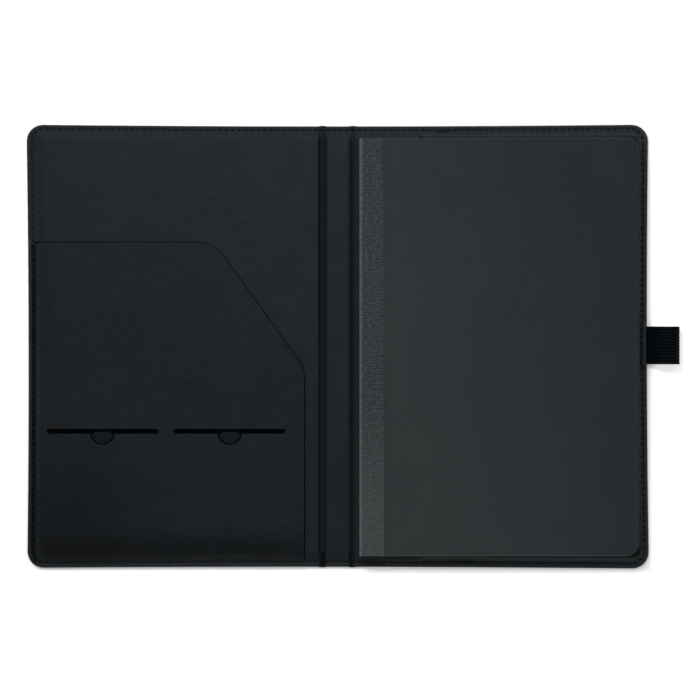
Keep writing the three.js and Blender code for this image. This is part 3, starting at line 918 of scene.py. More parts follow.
def lining_height(x, y):
    """The top of the lining, in millimetres above the table."""
    inset = inset_of(x, y)
    wall = groove_wall(x)
    on_boards = wall * section(inset, BOARD_SLOPE) * (PLATEAU - FLANGE)
    on_boards -= (1 - wall) * (FLANGE - GROOVE_FLOOR)
    if x > SLEEVE_SIDE:
        share = rise(x, SLIT_LEFT + 0.3, SLIT_RIGHT - 0.1)
        on_boards += share * (on_sleeve(x, y, inset) - on_boards)
    height = FLANGE + on_boards
    if inset < 3.6:
        height += section(inset, FLAT_EDGE)
        height += over_elastic(x, y) * section(inset, TUNNEL)
        phase = stitch_phase(x, y)
        height += 0.2 * hump(inset, SEAM + 0.75, 0.8) * (0.6 - phase)
        beside = 1 - facing_top(x, y)
        pulled = 1 + 2.0 * in_pocket(x, y) * beside
        pulled += 0.8 * beside if x > 0 else 0.8 * (1 - beside) * (y < 0)
        height -= hump(inset, SEAM, 0.6) * (0.34 * phase - 0.08) * pulled
    return height


def pressed(x, y, z):
    """Where a place of the flat lining lies when it is pressed over the boards."""
    return (*settle(x, y), lining_height(x, y))


# %% The lining, cut and pressed
lining = ringed_sheet("lining", LINING_RINGS)
score_folds()
score(xs=(SLIT_LEFT - 2.0, SLIT_LEFT, SLIT_LEFT + 1.0, SLIT_LEFT + 2.0, SLIT_RIGHT,
          SLIT_RIGHT + 1.0), ys=(SLIT_LOW, SLIT_HIGH))
pick("FACE", lambda p, face: SLIT_LEFT < p.x < SLIT_RIGHT and SLIT_LOW < p.y < SLIT_HIGH)
bpy.ops.mesh.delete(type="FACE")
shape(lining, pressed)
finish_with(lining, "SOLIDIFY", thickness=SKIN * MM, offset=-1.0)
lining_front, lining_back = split_at_spine(lining, ("lining_front", "lining_back"))
for piece, cover in ((lining_front, "front_cover"), (lining_back, "back_cover")):
    dress(piece, lining_cloth)
    bend_in_groove(piece)
    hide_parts(cover.replace("_cover", "_lining"), "spine_lining")
    print(piece.name, "has", len(piece.data.polygons), "faces")

# %% [markdown]
# ## The document pocket
# A panel of the same cloth, sewn in along the left and bottom edges and free along its top, its
# slanted cut and its right side. It is cut flat from a ringed sheet, so that it can climb from
# the seam over the board as the lining does. The two turns are snipped round. Its card slots are
# cut with two cutters while it is still flat, and then it is pressed into its place.

# %% The outline of the panel
CLOTH = 0.6
CUT_WIDE, CUT_HIGH = 45.6, 63.0
TOP_TURN, SIDE_TURN = 17.0, 18.5
SNIPS = 9
PAST_RIGHT = 0.4
PANEL_RIGHT = POCKET_HIGH.x + PAST_RIGHT


def outward_at(angle):
    """The direction that lies an angle clockwise of straight up."""
    return Vector((math.sin(angle), math.cos(angle), 0))


slant = math.atan2(CUT_HIGH, CUT_WIDE)
slant_normal = outward_at(slant)
top_turn_place = at(POCKET_HIGH.x - CUT_WIDE, POCKET_HIGH.y)
side_turn_place = at(PANEL_RIGHT, POCKET_HIGH.y - CUT_HIGH - PAST_RIGHT * CUT_HIGH / CUT_WIDE)
panel = ringed_sheet("document_pocket_panel", LINING_RINGS)
cut_line(at(PANEL_RIGHT, 0), (1, 0, 0), clear_outer=True)
cut_line(at(0, POCKET_HIGH.y), (0, 1, 0), clear_outer=True)
cut_line(top_turn_place, slant_normal, clear_outer=True)


# %% Its two turns, and its thickness
def snip_turn(centre, radius, start, end):
    """Cuts a corner round with short straight snips, as one does with scissors."""
    for step in range(1, SNIPS):
        outward = outward_at(start + (end - start) * step / SNIPS)
        cut_line(centre + radius * outward, outward, clear_outer=True)


top_y = top_turn_place.y - TOP_TURN * MM
reach = slant_normal.dot(top_turn_place) - TOP_TURN * MM
top_x = (reach - slant_normal.y * top_y) / slant_normal.x
snip_turn(Vector((top_x, top_y, 0)), TOP_TURN * MM, 0, slant)
side_x = side_turn_place.x - SIDE_TURN * MM
reach = slant_normal.dot(side_turn_place) - SIDE_TURN * MM
side_y = (reach - slant_normal.x * side_x) / slant_normal.y
snip_turn(Vector((side_x, side_y, 0)), SIDE_TURN * MM, slant, math.pi / 2)
score(xs=range(-148, -18, 7), ys=range(-103, 50, 7))
finish_with(panel, "SOLIDIFY", thickness=CLOTH * MM, offset=1.0)

# %% [markdown]
# ## The card slots
# Each slot is a thin mouth with round ends, and below its middle is a round notch for a thumb.
# The cutter starts as a plane. Its lower edge is scored, pulled down twice and narrowed, all its
# faces are dissolved into one, and every corner is bevelled. Then it is extruded and cuts. A
# second cutter is a little wider and cuts the coat only, so that a rim of raw cloth is left; its
# black also paints the shade of the gap round each notch.

# %% One slot cutter
SLOT_LENGTH, SLOT_HEIGHT, SLOT_Y = 55.2, 1.45, -42.55
NOTCH_HALF, NOTCH_DEEP = 5.3, 5.6
POUCHES = ["card_backing_left", "card_backing_right"]
SLOT_CENTRES = [(node_box(name)[0].x + node_box(name)[1].x) / 2 for name in POUCHES]
COAT_BACK, COAT_DEEP = 0.5, 0.25


def slot_cutter(middle, wider, bottom):
    """A solid in the form of one card slot with its thumb notch, wider all round if asked."""
    half = NOTCH_HALF + wider
    step = half * math.tan(math.pi / 8)
    long, high = SLOT_LENGTH + 2 * wider, SLOT_HEIGHT + 2 * wider
    cutter = flat_face("slot_cutter", long, high)
    score(xs=(-half, half))
    pick("EDGE", lambda p, edge: abs(p.x) < 0.1 and p.y < 0.1 - high / 2)
    pull_out(0, -step)
    pull_out(0, step - NOTCH_DEEP)
    stretch_picked(step / half, 1)
    pick("FACE", lambda p, face: True)
    bpy.ops.mesh.dissolve_faces()
    for depth, share, steps in ((NOTCH_DEEP, 0.9, 7), (step, 0.4, 4), (0.0, 0.5, 5)):
        level = -high / 2 - depth
        pick("VERT", lambda p, vertex: abs(p.x) < long / 2 - 1 and abs(p.y - level) < 0.05)
        round_corners(share * step, steps)
    pick("VERT", lambda p, vertex: abs(p.x) > long / 2 - 0.1)
    round_corners(0.47 * high, 5)
    pick_all()
    pull_out(0, 0, 3)
    pick_all()
    bpy.ops.mesh.normals_make_consistent(inside=False)
    move_picked(middle, SLOT_Y, bottom)
    put_down()
    return cutter


for middle in SLOT_CENTRES:
    for wider, bottom in ((0.0, -1.0), (COAT_BACK, CLOTH - COAT_DEEP)):
        cutter = slot_cutter(middle, wider, bottom)
        finish_with(panel, "BOOLEAN", object=cutter, operation="DIFFERENCE", solver="EXACT")
        bpy.data.objects.remove(cutter)
print("the panel has", len(panel.data.polygons), "faces after its slots are cut")

# %% [markdown]
# ## The raw cut edge
# Where the coat is cut through, the black cloth under it shows. From above that is a thin dark
# line round the pocket's free edge and its notches. The line is partly the raw cloth's own black
# and partly painted shade for the narrow gap under the edge; it is widest on the right side.

# %% Raw cloth edge, also painted gap shade
raw_edge_and_gap_shade, tree, shader = new_material("raw_cloth_edge_and_gap_shade")
frayed = noise(tree, place_of(tree, carried=True), 0.3, 3.0, 0.7)
set_inputs(tree, shader, {
    "Base Color": mix_colour(tree, frayed, (0.0003, 0.0004, 0.0006), (0.0012, 0.0015, 0.002)),
    "Normal": bump(tree, frayed, 0.05),
    "Roughness": between(tree, frayed, 0.8, 0.95),
    "Specular IOR Level": 0.02})

# %% Where the panel lies
GAP = POCKET_HIGH.z - CLOTH - PLATEAU


def free_edge(x, y):
    """How far a place lies inside the panel's free edges."""
    slanted = ((top_turn_place.x / MM - x) * math.sin(slant)
               + (top_turn_place.y / MM - y) * math.cos(slant))
    return min(POCKET_HIGH.x - x, POCKET_HIGH.y - y, slanted)


def panel_place(x, y, z):
    """Where a place of the flat panel lies over the lining. It lies closer along its free edges."""
    lifted = 0.25 + 0.75 * rise(free_edge(x, y), -4, 30)
    height = lining_height(x, y) + GAP * lifted * rise(inset_of(x, y), 4.2, 12) + 0.02
    return (*settle(x, y), height + z)


# %% Its edges broken, and the panel pressed into place
def cut_edge(p, edge):
    """True for a sharp edge on the panel's upper face, away from the sewn sides."""
    return p.z > CLOTH - 0.01 and inset_of(p.x, p.y) > 2.2 and edge.calc_face_angle(0) > 0.8


take_up(panel, edit=True)
# The bevels carry the dark rim: wider on the right side, where the painted gap shade is widest.
for width, wanted in ((0.55, lambda p: p.x > PANEL_RIGHT - 0.05),
                      (0.35, lambda p: p.x < PANEL_RIGHT - 0.7 and p.y > SLOT_Y + 9)):
    pick("EDGE", lambda p, edge: cut_edge(p, edge) and wanted(p))
    bpy.ops.mesh.bevel(offset=width * MM, segments=2, profile=0.5, clamp_overlap=False)
shape(panel, panel_place)
dress(panel, pocket_cloth, 18)


# %% The raw edge picked out
def second_finish(piece, material, wanted):
    """Gives the faces that are wanted another material."""
    piece.data.materials.append(material)
    take_up(piece, edit=True)
    pick("FACE", wanted)
    piece.active_material_index = 1
    bpy.ops.object.material_slot_assign()
    put_down()


def raw_or_gap_shade_face(p, face):
    """True for a face of the panel's cut edge, or of the slots' rims: raw cloth and painted gap
    shade.
    """
    inset, level = inset_of(p.x, p.y), abs(face.normal.z)
    free_side = p.x > PANEL_RIGHT - 0.6 or p.y > POCKET_HIGH.y - 0.45
    if level < 0.94 and inset > 7 or level < 0.9 and inset > 2.3 and free_side:
        return True
    coat_top = panel_place(p.x, p.y, CLOTH)[2]
    return face.normal.z > 0.5 and abs(p.y - SLOT_Y) < 8 and coat_top - p.z > COAT_DEEP / 2


second_finish(panel, raw_edge_and_gap_shade, raw_or_gap_shade_face)
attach(panel, "front_cover")
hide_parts("document_pocket")

# %% [markdown]
# ## The card pouches
# Behind each slot hangs a flat pouch of the same dark cloth. Its front leaf starts just below the
# slot, with a small tab behind the thumb notch, and above that its mouth drops back. The mouth is
# given a near-black satin, painted shade that makes the slots look deep and black.

# %% Pouch cloth, and black satin as painted shade
pouch_cloth = coated_cloth(
    "pouch_cloth", dark=(0.0038, 0.0048, 0.0068), light=(0.005, 0.0062, 0.0086),
    grain=0.3, depth=0.01, gloss=0.6, specular=0.12, tint=(0.76, 0.87, 1.0, 1.0))
satin_painted_shade, tree, shader = new_material("black_satin_painted_shade")
place = place_of(tree, carried=True)
ribs = waves(tree, place, "Y", 900.0, 0.6)
set_inputs(tree, shader, {
    "Base Color": mix_colour(tree, ribs, (0.0006, 0.0007, 0.0009), (0.0014, 0.0016, 0.002)),
    "Normal": bump(tree, ribs, 0.02),
    "Roughness": between(tree, noise(tree, place, 4.0), 0.75, 0.9),
    "Specular IOR Level": 0.04})

# %% The two pouches
LEAF_TOP = 3.92
MOUTH_TOP = 3.5
POUCH_CLOTH = 0.12
TAB, TAB_HALF = 1.1, 4
mouth_y = SLOT_Y - SLOT_HEIGHT / 2 - 0.4


def card_pouch(name, node):
    """A flat pouch with rounded corners whose mouth drops back behind the slot."""
    low, high = node_box(node)
    middle = (low.x + high.x) / 2
    pouch = flat_face(name, high.x - low.x, high.y - low.y, (middle, (low.y + high.y) / 2, LEAF_TOP))
    bpy.ops.mesh.select_mode(type="VERT")
    pick_all()
    round_corners(2.5, 6)
    score(ys=(mouth_y - 0.25, mouth_y, -60, -75, -90))
    score(xs=[middle + away for away in (-20, -12, -4.6, -3.8, 0, 3.8, 4.6, 12, 20)])
    pick("VERT", lambda p, vertex: p.y > mouth_y - 0.05)
    move_picked(0, 0, MOUTH_TOP - LEAF_TOP)
    pick("VERT", lambda p, vertex: abs(p.x - middle) < TAB_HALF and abs(p.y - mouth_y + 0.12) < 0.2)
    move_picked(0, TAB)
    finish_with(pouch, "SOLIDIFY", thickness=POUCH_CLOTH * MM, offset=-1.0)
    dress(pouch, pouch_cloth)
    # The mouth above the leaf, beside its tab, gets the near-black satin: painted shade inside the
    # slot.
    second_finish(pouch, satin_painted_shade, lambda p, face:
                  p.y > mouth_y - 0.2 + TAB * (abs(p.x - middle) < TAB_HALF))
    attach(pouch, "front_cover")
    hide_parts(node)


for side, node in zip(("left", "right"), POUCHES):
    card_pouch("card_pouch_" + side, node)

# %% [markdown]
# ## The stitches
# A lockstitch shows as a row of short threads with a hole between each two, on both faces of the
# cloth. One stitch is modelled: a cylinder scored across, whose ends are drawn thin and pulled
# down into their holes. It is copied along the seam's course, each copy with its own mesh and a
# slight tilt of its own, and the copies of each half are joined.

# %% Thread
thread_finish, tree, shader = new_material("sewing_thread")
place = place_of(tree, carried=False)
twist = waves(tree, place, "DIAGONAL", 1400.0, 1.5)
set_inputs(tree, shader, {
    "Base Color": mix_colour(tree, twist, (0.0003, 0.0005, 0.0008), (0.0018, 0.0023, 0.0032)),
    "Normal": bump(tree, twist, 0.04),
    "Roughness": between(tree, noise(tree, place, 3.0), 0.5, 0.65),
    "Specular IOR Level": 0.04})

# %% One stitch
STITCH_LENGTH = 1.9
THREAD_RADIUS = 0.25
put_down()
bpy.ops.mesh.primitive_cylinder_add(vertices=7, radius=THREAD_RADIUS * MM,
                                    depth=STITCH_LENGTH * MM, rotation=(0, math.pi / 2, 0))
stitch = bpy.context.object
bpy.ops.object.transform_apply(location=False, rotation=True, scale=False)
bpy.ops.object.mode_set(mode="EDIT")
score(xs=(-0.7, -0.35, 0.35, 0.7))
for end in (-1, 1):
    pick("VERT", lambda p, vertex: end * p.x > 0.9)
    stretch_picked(1, 0.55, 0.55)
    move_picked(0, 0, -0.3)
    pick("VERT", lambda p, vertex: 0.65 < end * p.x < 0.75)
    stretch_picked(1, 0.85, 0.85)
    move_picked(0, 0, -0.07)
put_down()
stitch_mesh = stitch.data
bpy.data.objects.remove(stitch)


# %% The seam of each half, on both faces
TOP_OVERLAP, TOP_CLOSER = 51, 4
LOW_OVERLAP, LOW_CLOSER = 58, 7


def lay_stitch(x, y, z, heading, under, chance):
    """One copy of the stitch, turned along the seam."""
    mesh = stitch_mesh.copy()
    turn = Matrix.Rotation(heading + chance.uniform(-0.06, 0.06), 4, "Z")
    if under:
        turn = turn @ Matrix.Rotation(math.pi, 4, "X")
    mesh.transform(Matrix.Translation(at(x, y, z)) @ turn)
    return put_in("stitch", mesh)


def sew(name, side, chance):
    """All the stitches of one half, joined as one piece. The seam's ends overlap on the right."""
    made = []
    runs = [(index + 0.5) * pitch for index in range(stitch_count)]
    if side > 0:
        runs += [TOP_OVERLAP + 0.5 * pitch * k for k in range(TOP_CLOSER)]
        runs += [half_seam - LOW_OVERLAP - 0.5 * pitch * k for k in range(LOW_CLOSER)]
    for number, run in enumerate(runs):
        x, y, heading = seam_spot(run)
        x = side * x
        heading = heading if side > 0 else math.pi - heading
        second = number >= stitch_count
        new_x, new_y = settle(x, y)
        if second:
            new_y -= math.copysign(0.3, y)
        top = lining_height(x, y) + CLOTH * in_pocket(x, y) + 0.06
        made.append(lay_stitch(new_x, new_y, top + 0.06 * second, heading, False, chance))
        if not second:
            low = max(underside(x, y, 0)[2] - 0.02, THREAD_RADIUS + 0.01)
            made.append(lay_stitch(new_x, new_y, low, heading, True, chance))
    return join_up(made, name)


for side, cover in ((-1, "front_cover"), (1, "back_cover")):
    seam = sew("seam_" + cover.replace("_cover", "_half"), side, random.Random(7 + side))
    dress(seam, thread_finish)
    bend_in_groove(seam)
    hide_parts(cover.replace("_cover", "_seam_thread"), "spine_seam_thread_top",
                "spine_seam_thread_bottom")
    print(seam.name, "has", len(seam.data.polygons), "faces")

# %% [markdown]
# ## The pen loop
# A band of ribbed black elastic, folded double. Its two ends go into the edge of the back cover
# between the cloths, where the seam holds them. The band is drawn as a strip: one row of faces
# across the width, then its free edge is extruded along the course of the fold. Solidify gives
# it thickness, and the valleys between its ribs are drawn in with shrink and fatten.

# %% A strip drawn along a path
FIRST_HALF = 0.05


def draw_strip(name, path, y_low, y_high, steps):
    """A strip whose edge follows (x, z) points, with so many steps across its width."""
    put_down()
    bpy.ops.mesh.primitive_grid_add(x_subdivisions=1, y_subdivisions=steps, size=1.0,
                                    location=(0, 0, 0))
    strip = bpy.context.object
    strip.name = name
    bpy.ops.object.mode_set(mode="EDIT")
    stretch_picked(2 * FIRST_HALF * MM, (y_high - y_low) * MM)
    move_picked(0, (y_low + y_high) / 2)
    for end, (x, z) in ((-1, path[0]), (1, path[1])):
        pick("VERT", lambda p, vertex: abs(p.x - FIRST_HALF * end) < 0.01 and abs(p.z) < 0.01)
        move_picked(x - FIRST_HALF * end, 0, z)
    for (x0, z0), (x1, z1) in zip(path[1:], path[2:]):
        pull_out(x1 - x0, 0, z1 - z0)
    pick_all()
    bpy.ops.mesh.normals_make_consistent(inside=False)
    put_down()
    return strip


# %% The course of the elastic
BAND = 0.85
RIBS = 12
FOLD_X, FOLD_Z, FOLD_RADIUS = 168.45, 3.6, 3.08
lower = [(x, 1.2 + (FOLD_Z - FOLD_RADIUS - 1.2) * rise(x, 155.5, 161.5))
         for x in [150.4, 152, 153.5, 154.5, 155.3, 156, 156.8, 157.6, 158.5, 159.5, 160.5, 161.5,
                   163, 165, 167]]
fold = [(FOLD_X + FOLD_RADIUS * math.sin(a), FOLD_Z - FOLD_RADIUS * math.cos(a))
        for a in [math.pi * step / 14 for step in range(15)]]
upper = [(x, 2.0 + (FOLD_Z + FOLD_RADIUS - 2.0) * rise(x, 155.8, 163.2))
         for x in [167, 165.2, 164, 163.2, 162.4, 161.6, 160.8, 160, 159.2, 158.4, 157.6, 156.9,
                   156.3, 155.6, 154.8, 153.5, 152, 150.4]]
course = lower + fold + upper
band = draw_strip("pen_loop_band", course, LOOP_LOW.y - 0.05, LOOP_HIGH.y + 0.05, RIBS * 4)
finish_with(band, "SOLIDIFY", thickness=BAND * MM, offset=0.0)
rib = (LOOP_HIGH.y - LOOP_LOW.y) / RIBS


def rib_share(y):
    """0 in the valley between two ribs and 0.5 on a rib's crest. The outer edges are no valleys."""
    place = (y - LOOP_LOW.y) / rib
    if place < 0.1 or place > RIBS - 0.1:
        return 0.25
    return min(place % 1.0, 1 - place % 1.0)


take_up(band, edit=True)
pick("VERT", lambda p, vertex: rib_share(p.y) < 0.05)
bpy.ops.transform.shrink_fatten(value=-0.22 * MM)
pick("VERT", lambda p, vertex: rib_share(p.y) > 0.45)
bpy.ops.transform.shrink_fatten(value=0.06 * MM)
put_down()

# %% The finish of the elastic
elastic_finish, tree, shader = new_material("ribbed_elastic")
place = place_of(tree, carried=True)
fuzz = noise(tree, place, 0.5, 3.0, 0.7)
picks = waves(tree, place, "X", 640.0, 1.2)
# Bands at the ribs' pitch: painted highlight on the crests and painted shade in the valleys.
rib_light_and_shade = waves(tree, place, "Y", 2 * math.pi / (20 * rib * MM), 0.3)
knit = maths(tree, "MULTIPLY_ADD", picks, 0.4, maths(tree, "MULTIPLY", rib_light_and_shade, fuzz))
set_inputs(tree, shader, {
    "Base Color": mix_colour(tree, between(tree, knit, 0.0, 1.0, 0.15, 0.8),
                             (0.0002, 0.0005, 0.001), (0.0026, 0.005, 0.008)),
    "Normal": bump(tree, knit, 0.12),
    "Roughness": between(tree, fuzz, 0.6, 0.8),
    "Specular IOR Level": 0.06,
    "Specular Tint": (0.6, 0.8, 1.0, 1.0)})

# %% The elastic's own place along its course
runs = [0.0]
for (x0, z0), (x1, z1) in zip(course, course[1:]):
    runs.append(runs[-1] + math.hypot(x1 - x0, z1 - z0))


def along_band(co):
    """Where a point lies on the band when it is drawn out flat."""
    p = co / MM
    nearest = min(range(len(course)),
                  key=lambda k: math.hypot(course[k][0] - p.x, course[k][1] - p.z))
    return at(runs[nearest], p.y - LOOP_LOW.y)


dress(band, elastic_finish, 50, along_band)
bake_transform(band)
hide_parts("pen_loop", "pen_loop_tail")
print("the elastic is", round(runs[-1], 1), "mm long")

# %% [markdown]
# ## The writing pad's sheets
# The pad is a block of loose sheets, and one sees their edges from the side. Each sheet is a thin
# plate of its own. Beyond the slit the sheets lie over the sleeve, and towards the binding they
# dip down to the pad's own board. One sheet is modelled flat and copied, and each copy is bent to
# its own height and shifted by a hair, as cut paper is.

# %% Writing paper
paper_finish, tree, shader = new_material("writing_paper")
place = place_of(tree, carried=False)
leaf_tone = noise(tree, stretched(tree, place, (0.6, 0.6, 3500.0)), 500.0)
set_inputs(tree, shader, {
    "Base Color": mix_colour(tree, between(tree, leaf_tone, 0.0, 1.0),
                             (0.72, 0.71, 0.66), (0.9, 0.89, 0.85)),
    "Normal": bump(tree, noise(tree, place, 0.4, 3.0), 0.02),
    "Roughness": between(tree, leaf_tone, 0.8, 0.95),
    "Specular IOR Level": 0.25})

# %% One flat sheet
PAD_LOW, PAD_HIGH = node_box("pad_sheets")
PAD_CORNER = 6.5
SHEETS = 45
SHEET = 0.085
SHEET_INSET = 0.3
BOARD_TOP = node_box("pad_back_board")[1].z
CARD_LOW, CARD_HIGH = node_box("pad_cover")
CARD_RIGHT = CARD_HIGH.x - 0.5


def pad_outline(name, x_low, x_high, corner_steps):
    """A flat face in the pad's outline, square at the binding and rounded on the right."""
    leaf = flat_face(name, x_high - x_low, PAD_HIGH.y - PAD_LOW.y,
                     ((x_low + x_high) / 2, (PAD_LOW.y + PAD_HIGH.y) / 2))
    pick("VERT", lambda p, vertex: p.x > x_high - 1)
    round_corners(PAD_CORNER, corner_steps)
    return leaf


flat_sheet = pad_outline("flat_sheet", PAD_LOW.x, CARD_RIGHT - SHEET_INSET, 4)
for end in (-1, 1):
    pick("VERT", lambda p, vertex: end * p.y > 90)
    move_picked(0, -end * SHEET_INSET)
score(xs=(33, 35, 37, 39, 41, 43))
finish_with(flat_sheet, "SOLIDIFY", thickness=SHEET * MM, offset=1.0)

# %% The block of sheets
LEAN = 0.5
AIR = 0.1
DIP_START, DIP_END = 33, 43


def lean_at(y):
    """How far the top of the pad's back leans to the right. It leans more at the upper end."""
    return LEAN + 0.25 * (y - PAD_LOW.y) / (PAD_HIGH.y - PAD_LOW.y)


chance = random.Random(45)
sheets = []
bound_step = (PAD_HIGH.z - BOARD_TOP) / SHEETS
free_step = (PAD_HIGH.z - SLEEVE - AIR) / SHEETS
for number in range(SHEETS):
    shift_x, shift_y = chance.uniform(-0.1, 0.02), chance.uniform(-0.1, 0.1)
    mesh = flat_sheet.data.copy()
    for vertex in mesh.vertices:
        x, y, z = vertex.co / MM
        bound = BOARD_TOP + bound_step * number + 0.005
        free = SLEEVE + AIR + free_step * number
        z += bound + (free - bound) * rise(x, DIP_START, DIP_END)
        leaning = 0.05 + lean_at(y) * number / SHEETS
        new_x = x + leaning * (1 - rise(x, 12, 30)) + shift_x * rise(x, 20, 60)
        vertex.co = at(new_x, y + shift_y, z)
    sheets.append(put_in("sheet", mesh))
block = join_up(sheets, "writing_sheets")
bpy.data.objects.remove(flat_sheet)
coat(block, paper_finish)
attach(block, "pad")
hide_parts("pad_sheets")
print("the block has", SHEETS, "sheets and", len(block.data.polygons), "faces")

# %% [markdown]
# ## The pad's card cover
# Over the sheets lies a cover of dark grey uncoated card. It turns over at the tape's edge, where
# narrow strips are scored along the crease, and the rest stays stiff. The card's cut edge is paler
# than its face, as its fibres show there.

# %% Uncoated card
def grey_card(name, left_colour, right_colour, fleck):
    """Matt card: felted fibres, soft clouds and flecks of pulp. It is paler on the left."""
    material, tree, shader = new_material(name)
    place = place_of(tree, carried=True)
    felt = noise(tree, place, 1.1, 4.0, 0.75)
    cloud = noise(tree, place, 26.0, 2.0)
    fibre = noise(tree, place, 0.45, 2.0, 0.6)
    aside = axes_of(tree, place)
    across = maths(tree, "MULTIPLY_ADD", aside["Y"], 0.35, aside["X"])
    leftward = between(tree, across, 0.0, 1.0, 25 * MM, 150 * MM)
    clouded = between(tree, maths(tree, "MULTIPLY_ADD", cloud, 0.5, leftward), 0.0, 1.0, 0.2, 1.3)
    tone = mix_colour(tree, clouded, left_colour, right_colour)
    set_inputs(tree, shader, {
        "Base Color": mix_colour(tree, between(tree, felt, 0.0, 1.0, 0.5, 0.68), tone, fleck),
        "Normal": bump(tree, felt, 0.03, bump(tree, fibre, 0.03)),
        "Roughness": between(tree, felt, 0.85, 0.97),
        "Specular IOR Level": 0.1})
    return material


card_face = grey_card("card_face", left_colour=(0.03, 0.0356, 0.037),
                      right_colour=(0.0174, 0.0213, 0.0248), fleck=(0.0265, 0.0315, 0.0345))
card_edge = grey_card("card_cut_edge", left_colour=(0.045, 0.051, 0.055),
                      right_colour=(0.04, 0.046, 0.05), fleck=(0.065, 0.07, 0.075))

# %% The card
CREASE = joints["pad_cover_turn"]["pos_m"][0] / MM
CREASE_START, CREASE_END = CREASE + 0.35, CREASE + 2.2
CREASE_STRIPS = 12
SCORE = CREASE + 3.2
LOW_PALE_STRIP = 0.45
card = pad_outline("pad_card_cover", PAD_LOW.x + 1.15, CARD_RIGHT, 12)
score(xs=[CREASE_START + (CREASE_END - CREASE_START) * step / CREASE_STRIPS
          for step in range(CREASE_STRIPS + 1)])
score(xs=(SCORE - 0.3, SCORE - 0.1, SCORE, SCORE + 0.1, SCORE + 0.3, 50, 75, 100, 125, 145),
      ys=(PAD_LOW.y + LOW_PALE_STRIP, -80, -40, 0, 40, 80))
finish_with(card, "SOLIDIFY", thickness=(CARD_HIGH.z - CARD_LOW.z) * MM, offset=1.0)
finish_with(card, "BEVEL", width=0.16 * MM, segments=2, limit_method="ANGLE",
            angle_limit=math.radians(50))


def card_place(x, y, z):
    """Where a place of the flat card lies: it sags a little and dips along its two score lines."""
    sag = 0.05 * math.sin(x * 0.045) * math.cos(y * 0.03)
    scored = 0.05 * hump(x, CREASE + 1.3, 0.35) + 0.05 * hump(x, SCORE, 0.3)
    return x, y, CARD_LOW.z + z - 0.04 * abs(sag) - scored


shape(card, card_place)
dress(card, card_face, 18)
# The cut edge faces and a narrow strip along the lower edge of the top face get the paler card.
second_finish(card, card_edge, lambda p, face:
              p.x > SCORE + 0.5 and abs(face.normal.z) < 0.95
              or p.x > CREASE_START and p.y < PAD_LOW.y + LOW_PALE_STRIP)
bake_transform(card)
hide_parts("pad_cover", "pad_cover_bound_edge")

# %% [markdown]
# ## The binding tape
# A strip of grey linen tape goes round the pad's bound edge, from the card cover over the sheets
# to the board below. It is drawn as a strip along its section. Its edge on top isn't quite
# straight. Its fold is painted pale, partly as rubbed wear and partly as a painted highlight where
# the rounded fold catches the light. It is a little paler near the lower end, where a thumb holds
# the pad.

# %% Linen tape
linen_finish, tree, shader = new_material("linen_tape")
place = place_of(tree, carried=True)
rough = {"Detail": 2.0, "Detail Scale": 1.5}
warp = waves(tree, place, "X", 560.0, 1.1, rough)
weft = waves(tree, place, "Y", 314.0, 1.1, rough)
weave = maths(tree, "MAXIMUM", warp, weft)
slub = noise(tree, stretched(tree, place, (0.36, 1.0, 1.0)), 0.7, 4.0, 0.7)
tone = mix_colour(tree, between(tree, slub, 0.0, 1.0, 0.38, 0.62),
                  (0.017, 0.021, 0.0245), (0.068, 0.0745, 0.0755))
gaps = mix_colour(tree, between(tree, weave, 0.0, 1.0, 0.25, 0.75), (0.012, 0.0145, 0.017), tone)
aside = axes_of(tree, place)
thumbed = between(tree, aside["Y"], 0.0, 0.22, -30 * MM, -85 * MM)
paler = mix_colour(tree, thumbed, gaps, (0.11, 0.117, 0.12))
# The fold is painted pale: partly rubbed wear, partly a painted highlight where the rounded fold
# catches the light.
wear_and_fold_highlight = maths(tree, "MULTIPLY", between(tree, aside["X"], 1.0, 0.0, 0.55 * MM, 1.0 * MM),
               between(tree, slub, 0.4, 1.0, 0.35, 0.6))
set_inputs(tree, shader, {
    "Base Color": mix_colour(tree, wear_and_fold_highlight, paler, (0.1, 0.107, 0.11)),
    "Normal": bump(tree, slub, 0.05, bump(tree, weave, 0.09)),
    "Roughness": between(tree, slub, 0.75, 0.95),
    "Specular IOR Level": 0.2})

# %% The tape drawn along its section
TAPE_LOW, TAPE_HIGH = node_box("pad_binding_tape")
TAPE = 0.2
ROUND = 0.7
left, right = TAPE_LOW.x + TAPE / 2, TAPE_HIGH.x - 0.1
bottom, top = TAPE_LOW.z + TAPE / 2, TAPE_HIGH.z - TAPE / 2
corner = [(ROUND * (1 - math.cos(a)), ROUND * (1 - math.sin(a)))
          for a in [math.pi / 2 * step / 6 for step in range(7)]]
tape_section = [(right, bottom), (19, bottom), (14, bottom)]
tape_section += [(left + dx, bottom + dz) for dx, dz in reversed(corner)]
tape_section += [(left, (bottom + top) / 2)]
tape_section += [(left + dx, top - dz) for dx, dz in corner]
tape_section += [(13, top), (16, top), (19, top), (21.5, top), (right, top)]
tape = draw_strip("linen_binding_tape", tape_section, TAPE_LOW.y, TAPE_HIGH.y, 70)
finish_with(tape, "SOLIDIFY", thickness=TAPE * MM, offset=0.0)


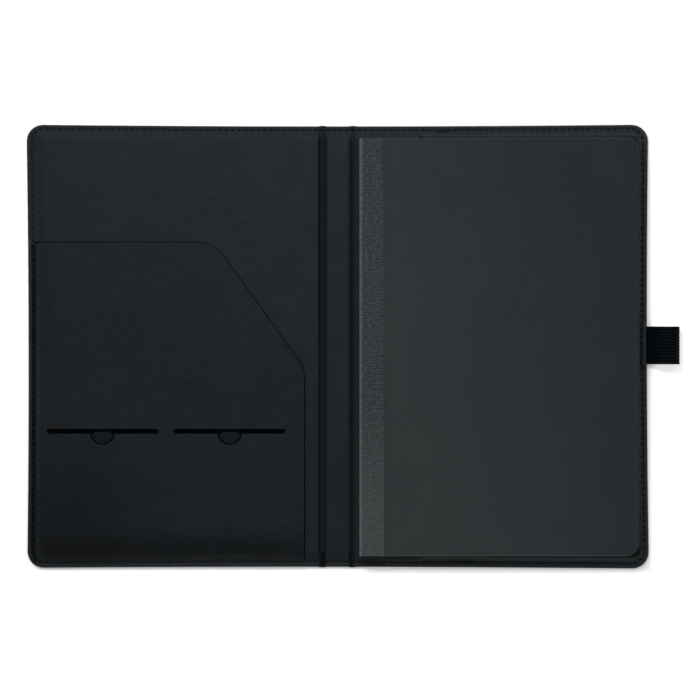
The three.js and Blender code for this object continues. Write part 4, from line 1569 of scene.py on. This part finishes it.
# %% The tape laid round the pad
def tape_place(x, y, z):
    """Where a place of the drawn tape lies: its top edge wavers, and its fold leans with the pad."""
    if z > top - 0.3 and x > 20:
        down = (TAPE_HIGH.y - y) / (TAPE_HIGH.y - TAPE_LOW.y)
        edge = -0.35 + 0.6 * down + 0.05 * math.sin(y * 0.9) + 0.04 * math.sin(y * 2.3)
        x += edge * rise(x, 20, right)
    if x < 20:
        x += lean_at(y) * rise(z, bottom, top) * (1 - rise(x, 12, 20))
        x += (0.05 * math.sin(y * 0.42) + 0.03 * math.sin(y * 1.3)) * (1 - rise(x, 11.5, 13))
    return x, y, z


def from_fold(co):
    """Where a point lies for the tape's pattern: its distance from the fold, and its y."""
    x, y, z = co / MM
    return at(x - TAPE_LOW.x - lean_at(y) if z > bottom + 1 else 1.5, y)


shape(tape, tape_place)
dress(tape, linen_finish, 50, from_fold)
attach(tape, "pad")
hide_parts("pad_binding_tape")

# %% [markdown]
# ## The stiff parts inside
# The greyboards, the pad's board and the staples have their right shape in the CAD model, so they
# stay as they are and only get their materials.

# %% Greyboard
greyboard, tree, shader = new_material("binders_greyboard")
place = place_of(tree, carried=False)
pulp = noise(tree, place, 0.9, 4.0, 0.7)
flecks = between(tree, noise(tree, place, 0.35, 2.0), 0.0, 1.0, 0.62, 0.7)
tone = mix_colour(tree, between(tree, pulp, 0.0, 1.0), (0.19, 0.175, 0.145), (0.3, 0.28, 0.235))
set_inputs(tree, shader, {
    "Base Color": mix_colour(tree, flecks, tone, (0.08, 0.07, 0.06)),
    "Normal": bump(tree, pulp, 0.06),
    "Roughness": between(tree, pulp, 0.88, 0.98),
    "Specular IOR Level": 0.15})

# %% Staple wire
staple_finish, tree, shader = new_material("staple_wire")
place = place_of(tree, carried=False)
drawn = noise(tree, stretched(tree, place, (8.0, 0.3, 8.0)), 0.5)
set_inputs(tree, shader, {
    "Base Color": mix_colour(tree, drawn, (0.42, 0.43, 0.44), (0.62, 0.63, 0.64)),
    "Roughness": between(tree, drawn, 0.25, 0.45),
    "Normal": bump(tree, drawn, 0.01),
    "Metallic": 1.0})

# %% The CAD nodes dressed
for name in ("front_greyboard", "back_greyboard", "spine_greyboard", "pad_back_board"):
    coat(frame["nodes"][name], greyboard)
for name in ("pad_staple_upper", "pad_staple_lower"):
    coat(frame["nodes"][name], staple_finish)

# %% [markdown]
# ## The end
# The last line leaves edit mode with nothing selected.

# %% Putting everything down
put_down()
